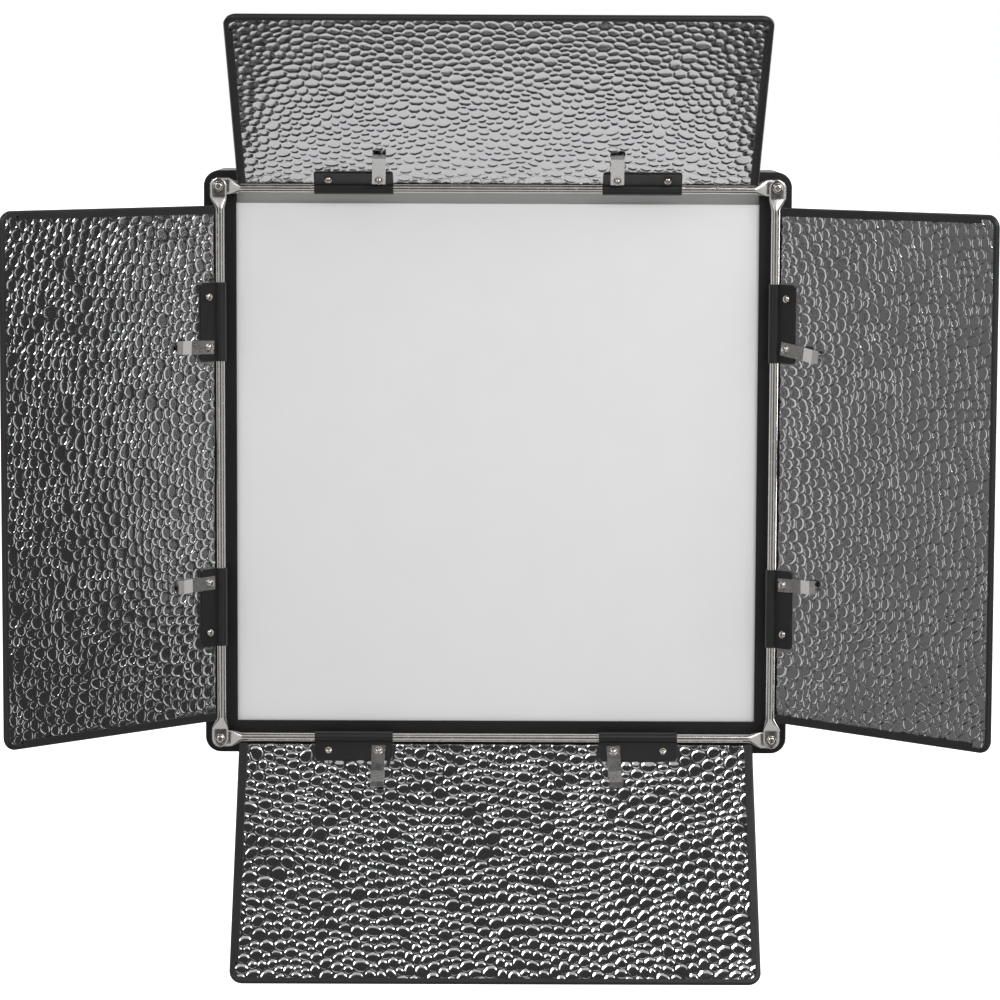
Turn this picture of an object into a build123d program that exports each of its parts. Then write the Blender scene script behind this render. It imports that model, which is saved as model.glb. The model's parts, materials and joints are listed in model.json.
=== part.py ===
"""LED panel light: a square lamp head with four barn doors, held in a yoke on a stand socket.

Sizes are in millimetres. The model is drawn about the middle of the bezel's front face, with
X to the right, Y towards the back of the light and Z up. It is written out about the mouth of
the stand socket, which is where the light is held.
"""
from build123d import *
from math import cos, pi, radians, sin
import os

# Lamp head
HEAD_W = 340.0  # width and height of the square head
HEAD_CORNER_R = 9.0
BEZEL_T = 2.0
BEZEL_EDGE = 0.7  # chamfer round the bezel's front edge
HOUSING_D = 58.0  # depth of the housing ring behind the bezel
WALL = 2.5
BACK_T = 2.5
APERTURE_W = 302.4  # light opening, which is square
SHELL_FIT = 0.2  # gap between the housing wall and what is dropped into it
POST_R = 7.0  # screw posts inside the housing
MID_POST_R = 4.5
MID_POST_SINK = 1.0  # how far a middle post runs into its wall
POST_GAP = 0.5  # between the inner diffuser and the posts behind it

# Filter that slides down into the front channel, and the fixed diffuser behind it
FILTER_T = 3.0
FILTER_PLAY = 0.5  # in front of the filter and behind it
FILTER_BITE = 3.8  # how far its edges reach behind the bezel
FILTER_SIDE_PLAY = 0.5
LIP_T = 1.5
DIFFUSER_T = 3.0

# Inside the head. The stack is set out from the back, and the light box takes what is left.
LIGHT_BOX_T = 1.0
LIGHT_BOX_R = 16.0
LIGHT_BOX_MARGIN = 5.8  # light box beyond the opening, each side
BOARD_MARGIN = 1.0  # heat spreader beyond the lamp board, each side
BOARD_T = 1.6
LED_COUNT = 12  # along each side of the grid
LED_PITCH = 24.0
LED_W, LED_H, LED_T = 3.5, 2.8, 0.7
SPREADER_T = 3.0
FIN_T, FIN_PITCH, FIN_H = 1.6, 14.0, 10.0
FIN_MARGIN = 10.0  # spreader left bare above and below the fins
DRIVER_W, DRIVER_H = 110.0, 170.0
TALL_PART, COIL_H, CHIP_H = 8.3, 4.5, 3.0  # heights of the driver's components
COVER_GAP = 0.5  # between the tallest component and the back cover
CAPACITOR_R = 6.0
STANDOFF_R, STANDOFF_H = 3.0, 5.0
STANDOFF_INSET = 6.0

# Barn-door rods: round bars whose ends are pressed flat into eyes
ROD_R = 2.5
ROD_INSET = 1.0  # rod line inboard of the eye centres
EYE_W, EYE_T = 9.7, 1.6
EYE_HOLE_R = 1.6
TAPER_START, TAPER_END = 12.7, 6.0  # distances from the eye centre
SPACER_H, SPACER_R = 5.2, 4.6

# Barn doors. Each is drawn in its own frame: U along the rod, V outwards, N out of its front.
DOOR_W = 300.0
DOOR_REACH = 158.0  # from the rod line to the outer edge
DOOR_START = 4.2  # from the rod line to the inner edge
SHEET_T = 0.8
EMBOSS_T = 1.6  # hammered sheet measured over its pebbles
DOOR_CORNER_R = 7.5
SIDE_HEM_W = 5.0
RIM_W = 2.9
HEM_STOP = 12.5  # side hems end this far from the outer edge
TOP_OPEN, LEFT_OPEN, RIGHT_OPEN, BOTTOM_OPEN = 52.5, 44.5, 43.6, 38.7  # from lying flat

# Hinge leaves rolled round the rods
LEAF_W = 45.6
LEAF_REACH = 15.0
LEAF_T = 0.9
LEAF_CENTRE = 83.0  # from the middle of the door
LEAF_CORNER_R = 2.0
HINGE_CLEAR = 0.05  # radial, between rod and leaf
LEAF_SCREW_V = 9.3
LEAF_SCREW_PITCH = 29.0
LEAF_SEAM = 0.6  # slit where the rolled edge meets the leaf

# Gel clips, each swinging on the inner screw of a leaf
CLIP_W, CLIP_T = 7.8, 0.8
CLIP_TAIL = 3.4
CLIP_FLAT = 13.6
CLIP_RAMP, CLIP_LIP = 8.0, 3.2
CLIP_RAMP_DEG = {"top": 2.0, "left": 12.0, "right": 12.0, "bottom": 11.0}
CLIP_LIP_DEG = -34.0
CLIP_FACE_GAP = 0.05  # above the leaf and under the screw head
CLIP_TURN = {"top": (-2.0, 1.0), "left": (1.0, -2.0), "right": (-8.0, 2.0), "bottom": (3.0, -1.0)}

# Screws and nuts
M25_R, M25_HEAD_R, M25_HEAD_H = 1.25, 2.4, 1.8
M3_R, M3_HEAD_R, M3_HEAD_H = 1.5, 3.0, 2.2
SCREW_CLEAR = 0.05
RECESS_W, RECESS_L, RECESS_D = 0.7, 2.6, 0.9
NUT_AF, NUT_H = 5.0, 2.0
SCREW_TIP = 0.4  # thread showing past the nut
CORNER_SCREW_BITE = 4.5  # into the channel corners
COVER_SCREW_BITE = 8.0

# Yoke, tilt pivot and knobs
PIVOT_Y = 32.0
BOSS_R, BOSS_H = 18.0, 4.0
BOSS_SLEEVE_R, BOSS_SLEEVE_L = 8.0, 10.0
YOKE_GAP = 0.6  # between boss and yoke arm
YOKE_T, YOKE_W = 4.0, 30.0
YOKE_REACH = 186.0  # from the pivot to the crossbar's inner face
YOKE_BEND_R = 16.0
STUD_R = 4.0
STUD_CLEAR = 0.08
STUD_BITE = 9.0
KNOB_GAP = 0.3
KNOB_R, KNOB_H, KNOB_HUB_R, KNOB_HUB_H = 19.0, 14.0, 11.0, 6.0
KNOB_LOBES, LOBE_R = 6, 5.5

# Stand receiver and its lock
SOCKET_R, SOCKET_D = 8.05, 40.0  # takes a 16 mm stand spigot
RECEIVER_R, RECEIVER_L = 15.0, 48.0
FLANGE_R, FLANGE_T = 22.0, 5.0
FLANGE_BOLT_RING = 34.0
BOLT_R, BOLT_HEAD_R, BOLT_HEAD_H = 2.5, 4.5, 2.8
BOLT_HEAD_ROOM = 0.5
LOCK_BOSS_R, LOCK_BOSS_TOP = 9.0, 20.0
LOCK_FROM_MOUTH = 16.0
SHOE_R, SHOE_L, SHOE_SETBACK = 3.6, 3.0, 0.4
LOCK_GAP = 4.0  # thread showing between boss and knob
LOCK_KNOB_R, LOCK_KNOB_H = 13.0, 18.0

# Control box on the back
BOX_W, BOX_H, BOX_D = 190.0, 90.0, 27.5
BOX_Z = -95.0
BOX_R = 6.0
BOX_SCREW_INSET = 7.0
DIMMER_X, COLOUR_X = 30.0, 68.0
KNOB_SPIGOT_R, SPIGOT_CLEAR = 3.0, 0.05
SMALL_KNOB_R, SMALL_KNOB_H = 11.0, 15.0
SMALL_KNOB_GAP = 3.0
FLUTES, FLUTE_R, FLUTE_STOP = 18, 1.1, 3.0
POT_W, POT_D, BUSH_R = 16.0, 9.0, 4.5
WINDOW_X, WINDOW_W, WINDOW_H, WINDOW_T = -26.0, 58.0, 32.0, 1.5
WINDOW_LEDGE = 2.0
ROCKER_X, ROCKER_W, ROCKER_L = -78.0, 14.0, 19.6
ROCKER_PLAY = 0.7
ROCKER_TILT = 8.0
ROCKER_PIVOT_DEPTH = 4.0
ROCKER_PIN_R, ROCKER_UNDER = 1.0, 1.5
SWITCH_WALL, SWITCH_WELL, SWITCH_FLOOR = 1.5, 9.0, 3.0
INLET_X, INLET_R, INLET_DEPTH, INLET_FLANGE = -60.0, 9.6, 15.0, 24.0
INLET_WALL, INLET_FLANGE_T, INLET_BACK = 1.2, 2.0, 1.5
PIN_R, PIN_L, PIN_RING = 1.2, 8.5, 4.6

# Vents
VENT_W, VENT_H, VENT_PITCH = 52.0, 4.0, 9.0
VENT_ROWS, VENT_COLUMNS = 9, 4
VENT_Z, VENT_COLUMN_PITCH = 78.0, 68.0
CABLE_HOLE_W, CABLE_HOLE_H = 40.0, 16.0
SIDE_VENTS, SIDE_VENT_PITCH = 7, 14.0
SIDE_VENT_START = 45.0  # from the tilt axis to the first side vent
SIDE_VENT_L, SIDE_VENT_W = 22.0, 4.0

# Worked-out places
HALF = HEAD_W / 2
BACK_Y = BEZEL_T + HOUSING_D
COVER_Y = BACK_Y + BACK_T
BOX_Y = COVER_Y + BOX_D
EYE = HALF - HEAD_CORNER_R  # eye centres share the bezel's corner arcs
ROD_LINE = EYE - ROD_INSET
FLAT_ROD_Y = -(SPACER_H + EYE_T / 2)
UPRIGHT_ROD_Y = FLAT_ROD_Y - EYE_T
INNER_HALF = HALF - WALL - SHELL_FIT
CHANNEL_D = FILTER_T + 2 * FILTER_PLAY
FILTER_Y = BEZEL_T + FILTER_PLAY
FILTER_HALF = APERTURE_W / 2 + FILTER_BITE
LIP_Y = BEZEL_T + CHANNEL_D
DIFFUSER_Y = LIP_Y + LIP_T
LIGHT_BOX_Y = DIFFUSER_Y + DIFFUSER_T
DRIVER_Y = BACK_Y - COVER_GAP - TALL_PART - BOARD_T
SPREADER_Y = DRIVER_Y - STANDOFF_H - SPREADER_T
BOARD_Y = SPREADER_Y - BOARD_T
SPREADER_W = 2 * (EYE - POST_R)  # reaches the corner posts
LED_BOARD_W = SPREADER_W - 2 * BOARD_MARGIN
APERTURE_TOP = ROD_LINE - ROD_R + 0.5  # the opening runs up behind the top rod
ARM_X = HALF + BOSS_H + YOKE_GAP
CROSSBAR_Y = PIVOT_Y + YOKE_REACH + YOKE_T
MOUTH_Y = CROSSBAR_Y + RECEIVER_L
TO_MOUNT = Pos(0, -MOUTH_Y, 0)
REFLECTOR_N = -LEAF_T / 2 - EMBOSS_T
BACK_N = REFLECTOR_N - SHEET_T
HEM_N = -LEAF_T / 2
CLIP_N = LEAF_T / 2 + CLIP_FACE_GAP
CLIP_HEAD_N = CLIP_N + CLIP_T + CLIP_FACE_GAP
DOORS = {
    "top": {"open": TOP_OPEN, "out": (0, 0, 1), "rod_y": FLAT_ROD_Y},
    "left": {"open": LEFT_OPEN, "out": (-1, 0, 0), "rod_y": UPRIGHT_ROD_Y},
    "right": {"open": RIGHT_OPEN, "out": (1, 0, 0), "rod_y": UPRIGHT_ROD_Y},
    "bottom": {"open": BOTTOM_OPEN, "out": (0, 0, -1), "rod_y": FLAT_ROD_Y},
}


def block(x, y, z):
    """Box between the low and high ends given for each axis."""
    middle = Pos((x[0] + x[1]) / 2, (y[0] + y[1]) / 2, (z[0] + z[1]) / 2)
    return middle * Box(x[1] - x[0], y[1] - y[0], z[1] - z[0])


def bar(radius, start, end):
    """Round bar from start to end."""
    line = Vector(*end) - Vector(*start)
    along = Plane(origin=start, z_dir=line)
    return along * Cylinder(radius, line.length, align=(Align.CENTER, Align.CENTER, Align.MIN))


def plate(sketch, y):
    """Sketch drawn in X and Z, made solid between the two Y values."""
    back = Plane(origin=(0, y[1], 0), x_dir=(1, 0, 0), z_dir=(0, -1, 0))
    return extrude(back * sketch, y[1] - y[0])


def pan_screw(radius, head_r, head_h, length):
    """Pan-head screw with a cross recess: head above Z = 0, thread below."""
    dome = Cylinder(head_r, head_h, align=(Align.CENTER, Align.CENTER, Align.MIN))
    dome = fillet(dome.edges().group_by(Axis.Z)[-1], head_h * 0.6)
    screw = dome + bar(radius, (0, 0, -length), (0, 0, 0))
    for turn in (0, 90):
        slot = Box(RECESS_L, RECESS_W, 2 * RECESS_D)
        screw -= Pos(0, 0, head_h) * Rot(0, 0, turn) * slot
    return screw


def nut():
    """Hexagon nut on Z = 0, standing downwards."""
    return extrude(RegularPolygon(NUT_AF / 2, 6, major_radius=False), -NUT_H)


def group(solids):
    """Separate solids kept together in one piece of the list."""
    return Compound(children=list(solids))


def at_corners(half):
    """The four corners of a square, as X and Z."""
    return [(sx * half, sz * half) for sx in (-1, 1) for sz in (-1, 1)]


# ---- Lamp head ----

def shell_fitted():
    """Outline of whatever drops into the housing ring."""
    return RectangleRounded(2 * INNER_HALF, 2 * INNER_HALF, HEAD_CORNER_R - WALL)


def front_bezel():
    """Flat front frame; its opening runs on up behind the top rod for the filter."""
    face = RectangleRounded(HEAD_W, HEAD_W, HEAD_CORNER_R)
    frame = plate(face, (0, BEZEL_T))
    frame = chamfer(frame.faces().sort_by(Axis.Y)[0].edges(), BEZEL_EDGE)
    half = APERTURE_W / 2
    frame -= block((-half, half), (-1, BEZEL_T + 1), (-half, APERTURE_TOP))
    for x, z in at_corners(EYE):
        frame -= bar(M3_R + SCREW_CLEAR, (x, -1, z), (x, BEZEL_T + 1, z))
    return frame


def filter_rails():
    """U-shaped channel behind the bezel, with a lip that holds the inner diffuser."""
    side = FILTER_HALF + FILTER_SIDE_PLAY
    rails = plate(shell_fitted(), (BEZEL_T, DIFFUSER_Y))
    rails -= block((-side, side), (BEZEL_T - 1, LIP_Y), (-side, HALF))
    half = APERTURE_W / 2
    rails -= block((-half, half), (LIP_Y - 1, DIFFUSER_Y + 1), (-half, HALF))
    end = BEZEL_T + CORNER_SCREW_BITE + 0.5
    for x, z in at_corners(EYE):
        rails -= bar(M3_R + SCREW_CLEAR, (x, BEZEL_T - 1, z), (x, end, z))
    return rails


def diffusion_filter():
    """Frosted sheet that slides down into the channel."""
    return block((-FILTER_HALF, FILTER_HALF), (FILTER_Y, FILTER_Y + FILTER_T),
                 (-FILTER_HALF, APERTURE_W / 2))


def inner_diffuser():
    """Fixed opal sheet over the light box."""
    return plate(shell_fitted(), (DIFFUSER_Y, LIGHT_BOX_Y))


def mid_posts():
    """X and Z of the two screw posts at the middle of the top and bottom walls."""
    z = HALF - WALL - MID_POST_R + MID_POST_SINK
    return [(0, z), (0, -z)]


def housing_shell():
    """Square ring with screw posts, side vents, pivot holes and the filter slot in its top."""
    inner = HEAD_W - 2 * WALL
    outline = RectangleRounded(HEAD_W, HEAD_W, HEAD_CORNER_R)
    shell = plate(outline - RectangleRounded(inner, inner, HEAD_CORNER_R - WALL), (BEZEL_T, BACK_Y))
    posts = [(x, z, POST_R) for x, z in at_corners(EYE)] + [(x, z, MID_POST_R) for x, z in mid_posts()]
    envelope = plate(outline, (BEZEL_T, BACK_Y))
    for x, z, r in posts:
        shell += bar(r, (x, LIGHT_BOX_Y + POST_GAP, z), (x, BACK_Y, z)) & envelope
    for x, z, r in posts:
        shell -= bar(M3_R + SCREW_CLEAR, (x, BACK_Y - COVER_SCREW_BITE - 1, z), (x, BACK_Y + 1, z))
    side = FILTER_HALF + FILTER_SIDE_PLAY
    shell -= block((-side, side), (BEZEL_T - 1, LIP_Y), (HALF - WALL - 1, HALF + 1))
    for sx in (-1, 1):
        wall = sorted((sx * (HALF - WALL - 1), sx * (HALF + 1)))
        shell -= bar(BOSS_SLEEVE_R + SCREW_CLEAR, (wall[0], PIVOT_Y, 0), (wall[1], PIVOT_Y, 0))
        for sz in (-1, 1):
            for i in range(SIDE_VENTS):
                z = sz * (SIDE_VENT_START + i * SIDE_VENT_PITCH)
                shell -= block(wall, (BACK_Y - 1.5 * SIDE_VENT_L, BACK_Y - 0.5 * SIDE_VENT_L),
                               (z - SIDE_VENT_W / 2, z + SIDE_VENT_W / 2))
    return shell


def vent_slots():
    """Cooling slots of the back cover, as cutters."""
    for row in range(VENT_ROWS):
        for column in range(VENT_COLUMNS):
            x = (column - (VENT_COLUMNS - 1) / 2) * VENT_COLUMN_PITCH
            z = VENT_Z + (row - (VENT_ROWS - 1) / 2) * VENT_PITCH
            yield plate(Pos(x, z) * SlotOverall(VENT_W, VENT_H), (BACK_Y - 1, COVER_Y + 1))


def box_screws():
    """X and Z of the control box's four screws."""
    x = BOX_W / 2 - BOX_SCREW_INSET
    z = BOX_H / 2 - BOX_SCREW_INSET
    return [(sx * x, BOX_Z + sz * z) for sx in (-1, 1) for sz in (-1, 1)]


def back_cover():
    """Back plate with cooling slots and a cable hole into the control box."""
    cover = plate(RectangleRounded(HEAD_W, HEAD_W, HEAD_CORNER_R), (BACK_Y, COVER_Y))
    cover = chamfer(cover.faces().sort_by(Axis.Y)[-1].edges(), BEZEL_EDGE)
    for slot in vent_slots():
        cover -= slot
    for x, z in at_corners(EYE) + mid_posts() + box_screws():
        cover -= bar(M3_R + SCREW_CLEAR, (x, BACK_Y - 1, z), (x, COVER_Y + 1, z))
    return cover - plate(Pos(0, BOX_Z) * Rectangle(CABLE_HOLE_W, CABLE_HOLE_H), (BACK_Y - 1, COVER_Y + 1))


def light_box():
    """White walls between the lamp board and the inner diffuser."""
    w = APERTURE_W + 2 * LIGHT_BOX_MARGIN
    inner = w - 2 * LIGHT_BOX_T
    ring = RectangleRounded(w, w, LIGHT_BOX_R) - RectangleRounded(inner, inner, LIGHT_BOX_R - LIGHT_BOX_T)
    return plate(ring, (LIGHT_BOX_Y, BOARD_Y - LED_T))


def led_board():
    """Board that carries the lamps."""
    return plate(Rectangle(LED_BOARD_W, LED_BOARD_W), (BOARD_Y, SPREADER_Y))


def led_chips():
    """Square grid of lamps on the front of the board."""
    places = [(i - (LED_COUNT - 1) / 2) * LED_PITCH for i in range(LED_COUNT)]
    for x in places:
        for z in places:
            yield block((x - LED_W / 2, x + LED_W / 2), (BOARD_Y - LED_T, BOARD_Y),
                        (z - LED_H / 2, z + LED_H / 2))


def standoffs():
    """X and Z of the driver board's four standoffs."""
    x = DRIVER_W / 2 - STANDOFF_INSET
    z = DRIVER_H / 2 - STANDOFF_INSET
    return [(sx * x, sz * z) for sx in (-1, 1) for sz in (-1, 1)]


def heat_spreader():
    """Aluminium plate behind the lamp board, finned either side of the driver board."""
    half = SPREADER_W / 2
    base_y = SPREADER_Y + SPREADER_T
    spreader = block((-half, half), (SPREADER_Y, base_y), (-half, half))
    count = int((half - DRIVER_W / 2) // FIN_PITCH)
    for sx in (-1, 1):
        for i in range(count):
            x = sx * (half - FIN_PITCH / 2 - i * FIN_PITCH)
            spreader += block((x - FIN_T / 2, x + FIN_T / 2), (base_y, base_y + FIN_H),
                              (-half + FIN_MARGIN, half - FIN_MARGIN))
    for x, z in standoffs():
        spreader += bar(STANDOFF_R, (x, base_y, z), (x, DRIVER_Y, z))
    return spreader


def driver_board():
    """Power and dimming board on the standoffs."""
    return plate(Rectangle(DRIVER_W, DRIVER_H), (DRIVER_Y, DRIVER_Y + BOARD_T))


def driver_parts():
    """Capacitors, coils and power transistors on the driver board."""
    y = DRIVER_Y + BOARD_T
    yield block((-34, -10), (y, y + TALL_PART), (20, 46))
    yield block((6, 36), (y, y + TALL_PART), (24, 44))
    for z in (-6, -24):
        for x in (-30, -12):
            yield bar(CAPACITOR_R, (x, y, z), (x, y + TALL_PART, z))
    for z in (0, -16, -32, -48):
        yield block((12, 30), (y, y + COIL_H), (z - 5, z + 5))
    yield block((-38, -6), (y, y + CHIP_H), (-66, -46))


def driver_parts_group():
    """All the board's components in one piece of the list."""
    return group(driver_parts())


def pivot_bosses():
    """Threaded bosses in the side walls that the yoke tilts on."""
    for sx in (-1, 1):
        boss = bar(BOSS_R, (sx * HALF, PIVOT_Y, 0), (sx * (HALF + BOSS_H), PIVOT_Y, 0))
        boss += bar(BOSS_SLEEVE_R, (sx * (HALF - BOSS_SLEEVE_L), PIVOT_Y, 0), (sx * HALF, PIVOT_Y, 0))
        yield boss - bar(STUD_R + STUD_CLEAR, (sx * (HALF - BOSS_SLEEVE_L - 1), PIVOT_Y, 0),
                         (sx * (HALF + BOSS_H + 1), PIVOT_Y, 0))


def housing_screws():
    """Screws of the back cover and of the control box."""
    screw = pan_screw(M3_R, M3_HEAD_R, M3_HEAD_H, BACK_T + COVER_SCREW_BITE)
    for x, z in at_corners(EYE) + mid_posts():
        yield Plane(origin=(x, COVER_Y, z), z_dir=(0, 1, 0)) * screw
    long_screw = pan_screw(M3_R, M3_HEAD_R, M3_HEAD_H, BOX_D + BACK_T)
    for x, z in box_screws():
        yield Plane(origin=(x, BOX_Y, z), z_dir=(0, 1, 0)) * long_screw


# ---- Control box ----

def control_box():
    """Moulded box on the back for the display, knobs, switch and power inlet."""
    outline = Pos(0, BOX_Z) * RectangleRounded(BOX_W, BOX_H, BOX_R)
    box = plate(outline, (COVER_Y, BOX_Y))
    box = fillet(box.faces().sort_by(Axis.Y)[-1].edges(), 1.5)
    hollow = Pos(0, BOX_Z) * RectangleRounded(BOX_W - 2 * WALL, BOX_H - 2 * WALL, BOX_R - WALL)
    box -= plate(hollow, (COVER_Y - 1, BOX_Y - WALL))
    for x, z in box_screws():
        box += bar(M3_HEAD_R + 1, (x, COVER_Y, z), (x, BOX_Y - WALL, z))
        box -= bar(M3_R + SCREW_CLEAR, (x, COVER_Y - 1, z), (x, BOX_Y + 1, z))
    for x in (DIMMER_X, COLOUR_X):
        box -= bar(BUSH_R + SCREW_CLEAR, (x, BOX_Y - WALL - 1, BOX_Z), (x, BOX_Y + 1, BOX_Z))
    window = (WINDOW_X - WINDOW_W / 2, WINDOW_X + WINDOW_W / 2)
    tall = (BOX_Z - WINDOW_H / 2, BOX_Z + WINDOW_H / 2)
    box -= block(window, (BOX_Y - WINDOW_T, BOX_Y + 1), tall)
    box -= block((window[0] + WINDOW_LEDGE, window[1] - WINDOW_LEDGE), (BOX_Y - WALL - 1, BOX_Y),
                 (tall[0] + WINDOW_LEDGE, tall[1] - WINDOW_LEDGE))
    w = ROCKER_W / 2 + ROCKER_PLAY
    h = ROCKER_L / 2 + 2 * ROCKER_PLAY
    box -= block((ROCKER_X - w, ROCKER_X + w), (BOX_Y - WALL - 1, BOX_Y + 1), (BOX_Z - h, BOX_Z + h))
    floor = BOX_Z - BOX_H / 2
    y = (COVER_Y + BOX_Y) / 2
    return box - bar(INLET_R + INLET_WALL, (INLET_X, y, floor - 1), (INLET_X, y, floor + WALL + 1))


def display_window():
    """Clear cover over the level display."""
    return block((WINDOW_X - WINDOW_W / 2, WINDOW_X + WINDOW_W / 2), (BOX_Y - WINDOW_T, BOX_Y),
                 (BOX_Z - WINDOW_H / 2, BOX_Z + WINDOW_H / 2))


def control_pots():
    """Rotary controls whose hollow bushes take the knobs' spigots."""
    for x in (DIMMER_X, COLOUR_X):
        y = BOX_Y - WALL
        half = POT_W / 2
        pot = block((x - half, x + half), (y - POT_D, y), (BOX_Z - half, BOX_Z + half))
        pot += bar(BUSH_R, (x, y, BOX_Z), (x, BOX_Y + SMALL_KNOB_GAP / 2, BOX_Z))
        yield pot - bar(KNOB_SPIGOT_R + SPIGOT_CLEAR, (x, y - POT_D / 2, BOX_Z),
                        (x, BOX_Y + SMALL_KNOB_GAP, BOX_Z))


def small_knob(x):
    """Fluted control knob with the spigot moulded on it."""
    base = BOX_Y + SMALL_KNOB_GAP
    knob = bar(SMALL_KNOB_R, (x, base, BOX_Z), (x, base + SMALL_KNOB_H, BOX_Z))
    knob = fillet(knob.edges().group_by(Axis.Y)[-1], 1.5)
    ring = SMALL_KNOB_R + FLUTE_R / 2
    for i in range(FLUTES):
        a = 2 * pi * i / FLUTES
        px = x + ring * cos(a)
        pz = BOX_Z + ring * sin(a)
        knob -= bar(FLUTE_R, (px, base - 1, pz), (px, base + SMALL_KNOB_H - FLUTE_STOP, pz))
    mark = block((x - 0.6, x + 0.6), (base + SMALL_KNOB_H - 0.5, base + SMALL_KNOB_H + 1),
                 (BOX_Z + 2, BOX_Z + SMALL_KNOB_R + 1))
    spigot = bar(KNOB_SPIGOT_R, (x, BOX_Y - WALL - POT_D / 2 + 1, BOX_Z), (x, base, BOX_Z))
    return knob - mark + spigot


def rocker():
    """Power rocker, resting with one end pressed in."""
    half = ROCKER_L / 2
    rise = half * sin(radians(ROCKER_TILT))
    top = ROCKER_PIVOT_DEPTH + rise
    profile = make_face(Polyline((-half, -ROCKER_UNDER), (half, -ROCKER_UNDER), (half, top),
                                 (0, ROCKER_PIVOT_DEPTH), (-half, top), close=True))
    side = Plane(origin=(-ROCKER_W / 2, 0, 0), x_dir=(0, 0, 1), z_dir=(-1, 0, 0))
    body = extrude(side * profile, -ROCKER_W)
    body -= bar(ROCKER_PIN_R + SCREW_CLEAR, (-ROCKER_W, 0, 0), (ROCKER_W, 0, 0))
    place = Pos(ROCKER_X, BOX_Y - ROCKER_PIVOT_DEPTH, BOX_Z)
    return place * Rot(-ROCKER_TILT, 0, 0) * body


def switch_body():
    """Cradle behind the rocker, with the pin that it turns on."""
    w = ROCKER_W / 2 + ROCKER_PLAY
    h = ROCKER_L / 2 + 2 * ROCKER_PLAY
    y = BOX_Y - WALL
    cradle = block((-w - SWITCH_WALL, w + SWITCH_WALL), (y - SWITCH_WELL - SWITCH_FLOOR, y),
                   (BOX_Z - h - SWITCH_WALL, BOX_Z + h + SWITCH_WALL))
    cradle -= block((-w, w), (y - SWITCH_WELL, y + 1), (BOX_Z - h, BOX_Z + h))
    pin_y = BOX_Y - ROCKER_PIVOT_DEPTH
    cradle += bar(ROCKER_PIN_R, (-w - SWITCH_WALL / 2, pin_y, BOX_Z), (w + SWITCH_WALL / 2, pin_y, BOX_Z))
    return Pos(ROCKER_X, 0, 0) * cradle


def power_inlet():
    """Round four-pin inlet in the underside of the control box."""
    y = (COVER_Y + BOX_Y) / 2
    floor = BOX_Z - BOX_H / 2
    top = floor + INLET_DEPTH
    half = INLET_FLANGE / 2
    inlet = block((INLET_X - half, INLET_X + half), (y - half, y + half), (floor - INLET_FLANGE_T, floor))
    inlet += bar(INLET_R + INLET_WALL, (INLET_X, y, floor), (INLET_X, y, top + INLET_BACK))
    inlet -= bar(INLET_R, (INLET_X, y, floor - INLET_FLANGE_T - 1), (INLET_X, y, top))
    for i in range(4):
        a = pi / 4 + i * pi / 2
        px, py = INLET_X + PIN_RING * cos(a), y + PIN_RING * sin(a)
        inlet += bar(PIN_R, (px, py, top - PIN_L), (px, py, top + 0.5))
    return inlet


# ---- Barn-door rods ----

def rod():
    """Bar along X with both ends tapered and pressed into flat eyes."""
    straight = EYE - TAPER_START
    piece = bar(ROD_R, (-straight, 0, 0), (straight, 0, 0))
    for sx in (-1, 1):
        start = Plane(origin=(sx * straight, 0, 0), x_dir=(0, 0, 1), z_dir=(sx, 0, 0))
        end = Plane(origin=(sx * (EYE - TAPER_END), 0, ROD_INSET), x_dir=(0, 0, 1), z_dir=(sx, 0, 0))
        piece += loft([start * Circle(ROD_R), end * Ellipse(EYE_W / 2, EYE_T / 2 + 0.15)])
        eye = Pos(sx * EYE, ROD_INSET) * Circle(EYE_W / 2)
        eye += Pos(sx * (EYE - TAPER_END / 2 - 0.5), ROD_INSET) * Rectangle(TAPER_END + 1, EYE_W)
        piece += plate(eye, (-EYE_T / 2, EYE_T / 2))
        piece -= bar(EYE_HOLE_R, (sx * EYE, -EYE_T, ROD_INSET), (sx * EYE, EYE_T, ROD_INSET))
    keep = block((-HALF, HALF), (-ROD_R, ROD_R), (-HALF, HALF))
    slim = block((-HALF, HALF), (-EYE_T / 2, EYE_T / 2), (-HALF, HALF))
    middle = block((-(EYE - TAPER_END), EYE - TAPER_END), (-ROD_R, ROD_R), (-HALF, HALF))
    return piece & (slim + middle) & keep


def door_rods():
    """Top, bottom, left and right rods; the upright ones lie in front of the others."""
    for turn, y in ((0, FLAT_ROD_Y), (180, FLAT_ROD_Y), (90, UPRIGHT_ROD_Y), (-90, UPRIGHT_ROD_Y)):
        yield Rot(0, turn, 0) * Pos(0, y, ROD_LINE) * rod()


def corner_spacers():
    """Round spacers that hold the rod eyes off the bezel."""
    for x, z in at_corners(EYE):
        yield (bar(SPACER_R, (x, -SPACER_H, z), (x, 0, z))
               - bar(EYE_HOLE_R, (x, -SPACER_H - 1, z), (x, 1, z)))


def corner_screws():
    """Screws through both eyes, the spacer and the bezel."""
    under_head = SPACER_H + 2 * EYE_T
    screw = pan_screw(M3_R, M3_HEAD_R, M3_HEAD_H, under_head + BEZEL_T + CORNER_SCREW_BITE)
    for i, (x, z) in enumerate(at_corners(EYE)):
        turned = Plane(origin=(x, -under_head, z), z_dir=(0, -1, 0)) * Rot(0, 0, 17 + 31 * i)
        yield turned * screw


# ---- Barn doors ----

def door_plane(side):
    """Frame of a door at rest: origin on its rod, X along the rod, Z out of its front."""
    door = DOORS[side]
    out, front = Vector(*door["out"]), Vector(0, -1, 0)
    angle = radians(door["open"])
    origin = out * ROD_LINE + Vector(0, door["rod_y"], 0)
    return Plane(origin=origin, x_dir=out.cross(front), z_dir=front * cos(angle) - out * sin(angle))


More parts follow.
